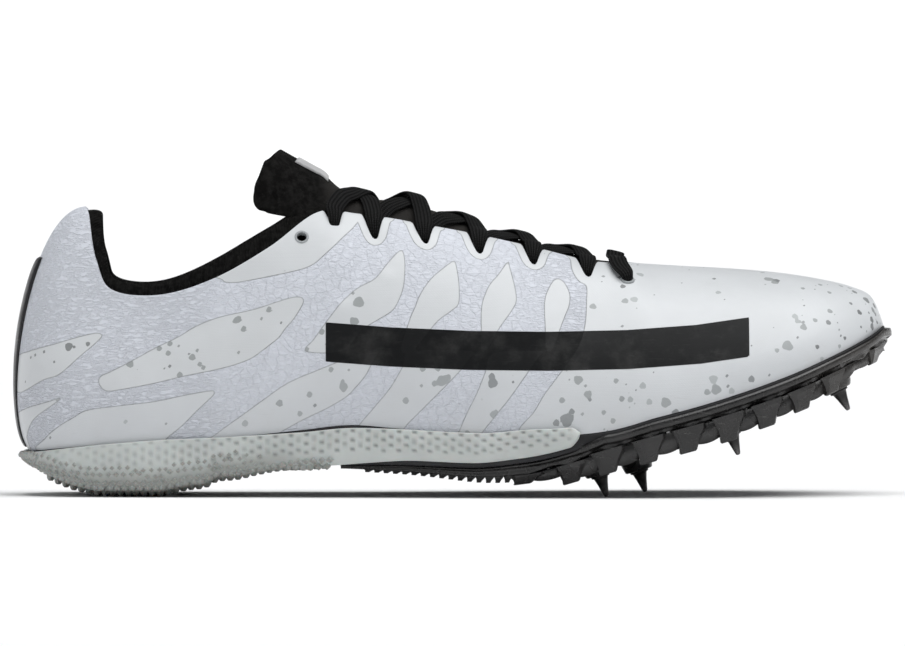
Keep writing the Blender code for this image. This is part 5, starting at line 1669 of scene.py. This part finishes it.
def plate_edge(side):
    """The plate's edge on one side, its distance at each point and where its lugs begin."""
    s = np.linspace(base_place(PLATE_START), LAST - 0.25, 400)
    edge = base_at(side_place(s, side), plate_outward(share_of(controls_at(s)[:, 0, 0])))
    run = lengths_along(edge)
    return edge, run, np.interp(along(LUGS_FROM), edge[:, 0], run)


def edge_blades(lugs, side, pitch, rng):
    """Blades along one edge, with a short one behind every second gap."""
    edge, length_at, begin = plate_edge(side)
    for k in range(int((length_at[-1] - begin) / pitch) + 1):
        at = begin + k * pitch
        here, ahead, between = (
            np.array([np.interp(at + step, length_at, edge[:, i]) for i in (0, 1)])
            for step in (0, 0.002, pitch / 2)
        )
        root, down, run = under_plate(*here)
        ahead = ahead - here
        way = unit(np.array([ahead[0], ahead[1], ahead[0] * run[2]]))
        inward = unit(np.cross(way, down))
        inward = -inward if inward[1] * side > 0 else inward
        depth = lug_depth(share_of(here[0])) * (0.92 + 0.10 * rng.random())
        root = root + inward * 0.0030
        if clear_of_spikes(root, 0.0016):
            blade(lugs, root, (down, way, inward), (pitch * 0.80, 0.0064, depth, -0.0022))
        root, down, _ = under_plate(*between)
        root = root + inward * 0.0042
        if k % 2 == 0 and clear_of_spikes(root, 0.0008):
            blade(lugs, root, (down, way, inward), (pitch * 0.40, 0.0036, depth * 0.62, 0.0008))


def midfoot_teeth(lugs, side):
    """Three rows of fine teeth behind the blades."""
    edge, length_at, begin = plate_edge(side)
    for at in np.arange(np.interp(along(0.405), edge[:, 0], length_at), begin, 0.0030):
        x, y = (float(np.interp(at, length_at, edge[:, i])) for i in (0, 1))
        size = 0.0008 + 0.0011 * float(smooth(0.44, 0.58, share_of(x)))
        for row in range(3):
            root, down, run = under_plate(x, y - side * (0.0016 + 0.0062 * row))
            blade(lugs, root, (down, run, SIDEWAYS), (0.0027, 0.0034, size * (1 - 0.15 * row), -0.0005))


def edge_skirt(side, pitch):
    """The low wall between the blades of one edge, its lower side in waves."""
    edge, length_at, begin = plate_edge(side)
    rows = []
    for at in np.arange(begin - 0.008, length_at[-1] - 0.001, 0.0009):
        root, down, _ = under_plate(*(float(np.interp(at, length_at, edge[:, i])) for i in (0, 1)))
        share = share_of(root[0])
        inward = -side * unit(np.array([0.45 * side * float(smooth(0.8, 1.0, share)), 1.0, 0.0]))
        wave = abs(math.sin(math.pi * (at - begin) / pitch + 0.6)) ** 0.7
        depth = lug_depth(share) * (0.46 + 0.30 * wave) * float(smooth(begin - 0.008, begin + 0.004, at))
        rows.append([
            root + inward * (off + swell * wave) + down * (depth * deep - lift)
            for off, swell, deep, lift in SKIRT
        ])
    return np.array(rows)


def field_blades(lugs):
    """The staggered blades between both edges, each turned to one side."""
    edges = [(side, plate_edge(side)[0]) for side in FOOT_SIDES]
    for k, x in enumerate(np.arange(along(0.60), along(0.965), 0.0092)):
        low, high = (np.interp(x, edge[:, 0], edge[:, 1]) - side * 0.011 for side, edge in edges)
        count = max(int((high - low) / FIELD_PITCH), 0) + k % 2
        for j in range(count):
            y = (low + high) / 2 + (j - (count - 1) / 2) * FIELD_PITCH
            root, down, run = under_plate(x, y)
            if low - 0.002 < y < high + 0.002 and clear_of_spikes(root, 0.0022):
                way = unit(run + SIDEWAYS * (0.5 if (j + k) % 2 else -0.5))
                over = unit(np.cross(way, down))
                blade(lugs, root, (down, way, over), (0.0082, 0.0040, lug_depth(share_of(x)) * 0.62, -0.0012))


def toe_tint(points):
    return {"toe_tint": smooth(0.86, 0.98, share_of(np.asarray(points)[..., 0]))}


def plate_sides(s, share, pitch):
    """The plate's edge on both sides, from its top to its underside, with arches between the lugs."""
    outward = plate_outward(share) + TOE_REACH * smooth(0.93, 0.995, share)
    lip = FOREFOOT_FOAM * 0.60 * smooth(0.60, 0.68, share)
    thick = plate_top(share) - plate_bottom(share)
    for side in FOOT_SIDES:
        base = base_at(side_place(s, side))
        run = lengths_along(base)
        begin = np.interp(along(LUGS_FROM), base[:, 0], run)
        arch = np.abs(np.sin((run - begin) / pitch * math.pi)) * smooth(0.56, 0.62, share)
        rows = []
        for over, drop in PLATE_PROFILE:
            point = base_at(side_place(s, side), outward + over - 0.0012 * arch * (0.35 < drop) * drop)
            rise = 0.35 * arch * max(drop - 0.3, 0) / 0.7 - drop
            point[:, 2] = plate_top(share_of(point[:, 0])) + thick * rise + lip * max(0.0, 1 - drop / 0.16)
            rows.append(point)
        yield np.stack(rows, axis=1)


def spike_well(row, material):
    """The raised well that holds a spike."""
    seat, axis = spike_seat(row)
    where = share_of(seat.x)
    height = (float(plate_bottom(where)) - seat.z) * abs(axis.z) - GAP - SPIKE_FLANGE
    profile = [(WELL_RADIUS * r, -height * share - drop) for r, share, drop in WELL_PROFILE]
    profile += [(SPIKE_FLANGE_RADIUS * r, -drop) for r, drop in ((1.12, 0.0), (1.06, 0.0004), (0.0, 0.0005))]
    tone = {"toe_tint": [float(smooth(0.86, 0.98, where))] * len(profile)}
    return turned("well", profile, seat - axis * SPIKE_FLANGE * 0.9, axis, material, tone, steps=40)


def build_plate():
    """The moulded plate: a slab with a beaded side and arches, its lugs and the spike wells."""
    sizes, colours = settings()
    material = plate_material(colours)
    s = np.linspace(base_place(PLATE_START), LAST - 0.01, 420)
    left, right = plate_sides(s, share_of(controls_at(s)[:, 0, 0]), sizes.lug_pitch)
    v = np.linspace(0, 1, 20)[1:-1][None, :, None]
    under = left[:, -1:] * (1 - v) + right[:, -1:] * v
    mix = smooth(0.0, 0.12, np.minimum(v, 1 - v))[..., 0]
    under[..., 2] = under[..., 2] * (1 - mix) + plate_bottom(share_of(under[..., 0])) * mix
    rows = np.concatenate([left, under, right[:, ::-1]], axis=1)
    lugs = points, faces = [], []
    rng = np.random.default_rng(5)
    for side in FOOT_SIDES:
        edge_blades(lugs, side, sizes.lug_pitch, rng)
        midfoot_teeth(lugs, side)
    field_blades(lugs)
    skirts = [edge_skirt(side, sizes.lug_pitch) for side in FOOT_SIDES]
    pieces = [
        closed_loft(name, grid, material, toe_tint(grid))
        for name, grid in (("plate_moulding", rows), ("skirt", skirts[0]), ("skirt", skirts[1]))
    ]
    lugs = add_mesh("lugs", points, faces, material, toe_tint(points), closed=True)
    bevel = lugs.modifiers.new("soft_edges", "BEVEL")
    bevel.width, bevel.segments, bevel.angle_limit = 0.00022, 2, math.radians(28)
    bpy.context.view_layer.objects.active = lugs
    lugs.select_set(True)
    bpy.ops.object.modifier_apply(modifier="soft_edges")
    lugs.data.shade_flat()
    pieces += [lugs] + [spike_well(row, material) for row in SPIKES]
    finished(joined("plate_moulding", pieces), ["spike_plate"])


def ribbon(name, path, normals, widths, thicknesses, material):
    """A flat lace along a path, its section a soft rectangle that may change on the way."""
    run = unit(np.gradient(path, axis=0))
    over = unit(np.cross(run, normals))
    lift = unit(np.cross(over, run))
    angle = np.linspace(0, math.tau, 28, endpoint=False)
    c, n = np.cos(angle), np.sin(angle)
    x = np.sign(c) * np.abs(c) ** 0.55
    z = np.sign(n) * np.abs(n) ** 0.75
    rows = path[:, None] + over[:, None] * (x[None, :, None] * widths[:, None, None] / 2)
    rows = rows + lift[:, None] * (z[None, :, None] * thicknesses[:, None, None] / 2)
    flat = np.zeros(rows.shape[:2])
    layers = {"along": flat + lengths_along(path)[:, None] * 1000, "across": flat + x}
    return closed_loft(name, rows, material, layers)


def over_tongue(place, across, lift):
    """A point over the tongue: across is -1 at the outer edge of the throat and 1 at the inner."""
    q = HEEL_EDGE_END - place
    half = np.maximum(throat_half(place), TONGUE_RIDGE)
    v = across * half / (half + TONGUE_FLANK * (1 - 0.75 * smooth(-8.0, -7.0, -place)))
    normal = tongue_normal(q, v)
    return tongue_face(q, v) + normal * lift, normal


def at_notch(place, side, depth, outward):
    """A point at a depth down a notch, moved outward from the wall."""
    s = np.array([float(side_place(place, side))])
    length = wall_length(s)
    t = np.clip(1 - depth / length, 0, 1)
    normal = upper_normal(s, t)[0]
    point = upper_at(s, t)[0]
    if depth < 0:
        point = point - unit(upper_at(s, t) - upper_at(s, t - 0.03))[0] * depth
    return point + normal * outward, normal


# Passages of the lace: depth below the edge, distance outward, and shares of its width and thickness.
PASSAGES = {
    "over": (
        (0.0096, -0.0030, 0.52, 1.7), (0.0088, -0.0014, 0.55, 1.7), (0.0074, -0.0002, 0.62, 1.6),
        (0.0052, 0.0006, 0.74, 1.4), (0.0026, 0.0010, 0.92, 1.15), (-0.0006, 0.0010, 1.0, 1.0),
    ),
    "under": ((0.0066, -0.0026, 0.8, 1.0), (0.0030, -0.0024, 0.9, 1.0)),
    "hole": (
        (0.0140, -0.0034, 0.50, 2.0), (0.0140, -0.0014, 0.52, 2.0), (0.0138, 0.0006, 0.62, 1.8),
        (0.0124, 0.0016, 0.86, 1.3), (0.0094, 0.0016, 1.0, 1.0), (0.0056, 0.0017, 1.0, 1.0),
        (0.0020, 0.0020, 1.0, 1.0),
    ),
}
LACE_BEND = 2.3
EDGE_LIFT = 0.0013
# How far the upper and the lower lace of each crossing rise over its middle.
LACE_HUMPS = ((0.0002, 0.0016), (0.0023, 0.0), (0.0015, 0.0), (0.0015, 0.0), (0.0015, 0.0))
BAR_BOW = 0.36
BAR_HUMP = 0.0022


def strand(name, start, end, hump, kinds, sizes, material):
    """One pass of the lace across the throat, from a place and side to another."""
    w, h = sizes.lace_width, sizes.lace_thickness
    straight = start[0] == end[0]

    def passage(place, side, kind):
        found = []
        for depth, outward, wide, high in PASSAGES[kind]:
            bow = BAR_BOW * (1 - (depth / FRONT_HOLE_EDGE) ** 2) * 0.75 if straight else 0.0
            found.append((*at_notch(place - bow, side, depth, outward), w * wide, h * high))
        return found

    middle = []
    for mix in np.linspace(0.3, 0.7, 3) if straight else np.linspace(0.14, 0.86, 9):
        place = start[0] - BAR_BOW if straight else end[0] + (start[0] - end[0]) * (1 - mix) ** LACE_BEND
        across = start[1] + (end[1] - start[1]) * mix
        lift = LACE_LIFT * 0.4 + h * 0.5 + hump * math.exp(-(((mix - 0.5) / 0.2) ** 2))
        for kind, share in zip(kinds, (1 - mix, mix)):
            if kind != "under":
                lift += EDGE_LIFT * float(smooth(0.62, 1.0, share))
        middle.append((*over_tongue(place, across * 0.92, lift), w, h))
    table = passage(*start, kinds[0]) + middle + passage(*end, kinds[1])[::-1]
    stacked = np.array([np.concatenate([point, normal, size]) for point, normal, *size in table])
    smoothed = through(stacked, len(table) * 9)
    for _ in range(8):
        smoothed[1:-1] = smoothed[1:-1] * 0.5 + (smoothed[:-2] + smoothed[2:]) * 0.25
    return ribbon(name, smoothed[:, :3], unit(smoothed[:, 3:6]), smoothed[:, 6], smoothed[:, 7], material)


def build_laces():
    """The lace: five crossings between the notches and a bar between the front holes."""
    sizes, colours = settings()
    material = lace_material(colours)
    for k, (back, front) in enumerate(zip(LACE_PLACES, LACE_PLACES[1:-1]), 1):
        high, low = LACE_HUMPS[k - 1]
        first = "over" if k == 1 else "under"
        one = strand(f"lace_{k}_a", (back, 1), (front, -1), high, ("under", "over"), sizes, material)
        other = strand(f"lace_{k}_b", (back, -1), (front, 1), low, (first, "over"), sizes, material)
        finished(joined(f"lace_{k}", [one, other]), [f"lace_crossing_{k}"])
    ends = [(LACE_PLACES[-1], side) for side in FOOT_SIDES]
    finished(strand("lace_front", *ends, BAR_HUMP, ("hole", "hole"), sizes, material), ["lace_bar"])


STAGE_RADIUS = 10.0
CAMERA_DISTANCE = 6.0
CAMERA_LENS = 744.7
CAMERA_TILT = 1.1
CAMERA_AIM = (0.09976, 0.0, 0.05499)
SKY_STRENGTH = 0.20
SUN_STRENGTH = 2.82
SUN_SPREAD = 58
SUN_DIRECTION = (-0.22, 0.10, -1.0)
FILL_POWER = 0.3


def placed(made, location, aim):
    """Puts a light or the camera in the scene, turned towards a point."""
    made.location = location
    made.rotation_euler = (Vector(aim) - made.location).to_track_quat("-Z", "Y").to_euler()
    bpy.context.scene.collection.objects.link(made)
    return made


def build_stage():
    """A pale round floor that sweeps up far away, soft light and the camera."""
    _, colours = settings()
    turn = np.linspace(0, math.pi / 2, 16)[1:]
    curve = [(0.0001, 0.0), (1.0, 0.0), (STAGE_RADIUS, 0.0)]
    curve += [(STAGE_RADIUS + 2 * math.sin(a), 2 - 2 * math.cos(a)) for a in turn] + [(STAGE_RADIUS + 2, 3.0)]
    rows = [[(r * math.cos(a), r * math.sin(a), z) for r, z in curve] for a in np.linspace(0, math.tau, 97)]
    floor = add_mesh("backdrop", rows, grid_faces(97, len(curve)), floor_material(colours))
    scene = bpy.context.scene
    scene.world = bpy.data.worlds.new("Studio")
    scene.world.use_nodes = True
    background = scene.world.node_tree.nodes["Background"].inputs
    background["Color"].default_value = (0.93, 0.96, 1.0, 1.0)
    background["Strength"].default_value = SKY_STRENGTH
    data = bpy.data.lights.new("overhead_light", "SUN")
    data.energy, data.angle = SUN_STRENGTH, math.radians(SUN_SPREAD)
    placed(bpy.data.objects.new("overhead_light", data), (0, 0, 0), SUN_DIRECTION)
    data = bpy.data.lights.new("heel_fill", "AREA")
    data.shape, data.size, data.size_y = "RECTANGLE", 0.8, 0.6
    data.energy, data.color = FILL_POWER, (0.97, 0.98, 1.0)
    placed(bpy.data.objects.new("heel_fill", data), (-0.70, -0.90, 0.60), (0.0, 0.0, 0.05))
    tilt = math.radians(CAMERA_TILT)
    data = bpy.data.cameras.new("camera")
    data.lens, data.sensor_width = CAMERA_LENS, 36.0
    data.clip_start, data.clip_end = 0.1, 20.0
    away = Vector((0, -math.cos(tilt), math.sin(tilt))) * CAMERA_DISTANCE
    scene.camera = placed(bpy.data.objects.new("camera", data), Vector(CAMERA_AIM) + away, CAMERA_AIM)
    scene.view_settings.view_transform = "Standard"


class SPIKE_SHOE_OT_upper(bpy.types.Operator):
    """Builds the wall of the upper and its lining."""

    bl_idname = "spike_shoe.upper"
    bl_label = "Build the upper"

    def execute(self, context):
        build_upper()
        return {"FINISHED"}


class SPIKE_SHOE_OT_eyelets(bpy.types.Operator):
    """Builds the rings round the lace holes."""

    bl_idname = "spike_shoe.eyelets"
    bl_label = "Build the eyelets"

    def execute(self, context):
        build_eyelets()
        return {"FINISHED"}


class SPIKE_SHOE_OT_collar(bpy.types.Operator):
    """Builds the padded roll round the ankle."""

    bl_idname = "spike_shoe.collar"
    bl_label = "Build the collar"

    def execute(self, context):
        build_collar()
        return {"FINISHED"}


class SPIKE_SHOE_OT_tongue(bpy.types.Operator):
    """Builds the tongue and its plain patch."""

    bl_idname = "spike_shoe.tongue"
    bl_label = "Build the tongue"

    def execute(self, context):
        build_tongue()
        return {"FINISHED"}


class SPIKE_SHOE_OT_heel_strip(bpy.types.Operator):
    """Builds the strip up the back of the heel."""

    bl_idname = "spike_shoe.heel_strip"
    bl_label = "Build the heel strip"

    def execute(self, context):
        build_heel_strip()
        return {"FINISHED"}


class SPIKE_SHOE_OT_sock_liner(bpy.types.Operator):
    """Builds the sock liner inside the shoe."""

    bl_idname = "spike_shoe.sock_liner"
    bl_label = "Build the sock liner"

    def execute(self, context):
        build_insole()
        return {"FINISHED"}


class SPIKE_SHOE_OT_foam(bpy.types.Operator):
    """Builds the midsole foam."""

    bl_idname = "spike_shoe.foam"
    bl_label = "Build the foam"

    def execute(self, context):
        build_foam()
        return {"FINISHED"}


class SPIKE_SHOE_OT_rubber(bpy.types.Operator):
    """Builds the heel rubber, its pits and its tread."""

    bl_idname = "spike_shoe.rubber"
    bl_label = "Build the rubber"

    def execute(self, context):
        build_cup()
        return {"FINISHED"}


class SPIKE_SHOE_OT_plate(bpy.types.Operator):
    """Builds the spike plate with its lugs and wells."""

    bl_idname = "spike_shoe.plate"
    bl_label = "Build the plate"

    def execute(self, context):
        build_plate()
        return {"FINISHED"}


class SPIKE_SHOE_OT_spikes(bpy.types.Operator):
    """Builds the six spikes."""

    bl_idname = "spike_shoe.spikes"
    bl_label = "Build the spikes"

    def execute(self, context):
        build_spikes()
        return {"FINISHED"}


class SPIKE_SHOE_OT_laces(bpy.types.Operator):
    """Builds the lace from notch to notch."""

    bl_idname = "spike_shoe.laces"
    bl_label = "Build the laces"

    def execute(self, context):
        build_laces()
        return {"FINISHED"}


class SPIKE_SHOE_OT_stage(bpy.types.Operator):
    """Builds the backdrop, the lights and the camera."""

    bl_idname = "spike_shoe.stage"
    bl_label = "Build the stage"

    def execute(self, context):
        build_stage()
        return {"FINISHED"}


OPERATORS = (
    SPIKE_SHOE_OT_upper,
    SPIKE_SHOE_OT_eyelets,
    SPIKE_SHOE_OT_collar,
    SPIKE_SHOE_OT_tongue,
    SPIKE_SHOE_OT_heel_strip,
    SPIKE_SHOE_OT_sock_liner,
    SPIKE_SHOE_OT_foam,
    SPIKE_SHOE_OT_rubber,
    SPIKE_SHOE_OT_plate,
    SPIKE_SHOE_OT_spikes,
    SPIKE_SHOE_OT_laces,
    SPIKE_SHOE_OT_stage,
)


class VIEW3D_PT_spike_shoe(bpy.types.Panel):
    """Sizes, colours and the steps that build the shoe."""

    bl_label = "Spike shoe"
    bl_idname = "VIEW3D_PT_spike_shoe"
    bl_space_type = "VIEW_3D"
    bl_region_type = "UI"
    bl_category = "Spike shoe"

    def draw(self, context):
        layout = self.layout
        for group, label in zip(settings(), ("Sizes", "Colours")):
            box = layout.box()
            box.label(text=label)
            for key in group.__annotations__:
                box.prop(group, key)
        column = layout.column(align=True)
        for operator in OPERATORS:
            column.operator(operator.bl_idname)


CLASSES = (SpikeShoeSizes, SpikeShoeColours) + OPERATORS + (VIEW3D_PT_spike_shoe,)


def register():
    for made in CLASSES:
        bpy.utils.register_class(made)
    bpy.types.Scene.spike_shoe_sizes = PointerProperty(type=SpikeShoeSizes)
    bpy.types.Scene.spike_shoe_colours = PointerProperty(type=SpikeShoeColours)


def unregister():
    del bpy.types.Scene.spike_shoe_colours
    del bpy.types.Scene.spike_shoe_sizes
    for made in reversed(CLASSES):
        bpy.utils.unregister_class(made)


def main():
    """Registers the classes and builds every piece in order."""
    register()
    bpy.ops.spike_shoe.upper()
    bpy.ops.spike_shoe.eyelets()
    bpy.ops.spike_shoe.collar()
    bpy.ops.spike_shoe.tongue()
    bpy.ops.spike_shoe.heel_strip()
    bpy.ops.spike_shoe.sock_liner()
    bpy.ops.spike_shoe.foam()
    bpy.ops.spike_shoe.rubber()
    bpy.ops.spike_shoe.plate()
    bpy.ops.spike_shoe.spikes()
    bpy.ops.spike_shoe.laces()
    bpy.ops.spike_shoe.stage()


if __name__ == "__main__":
    main()
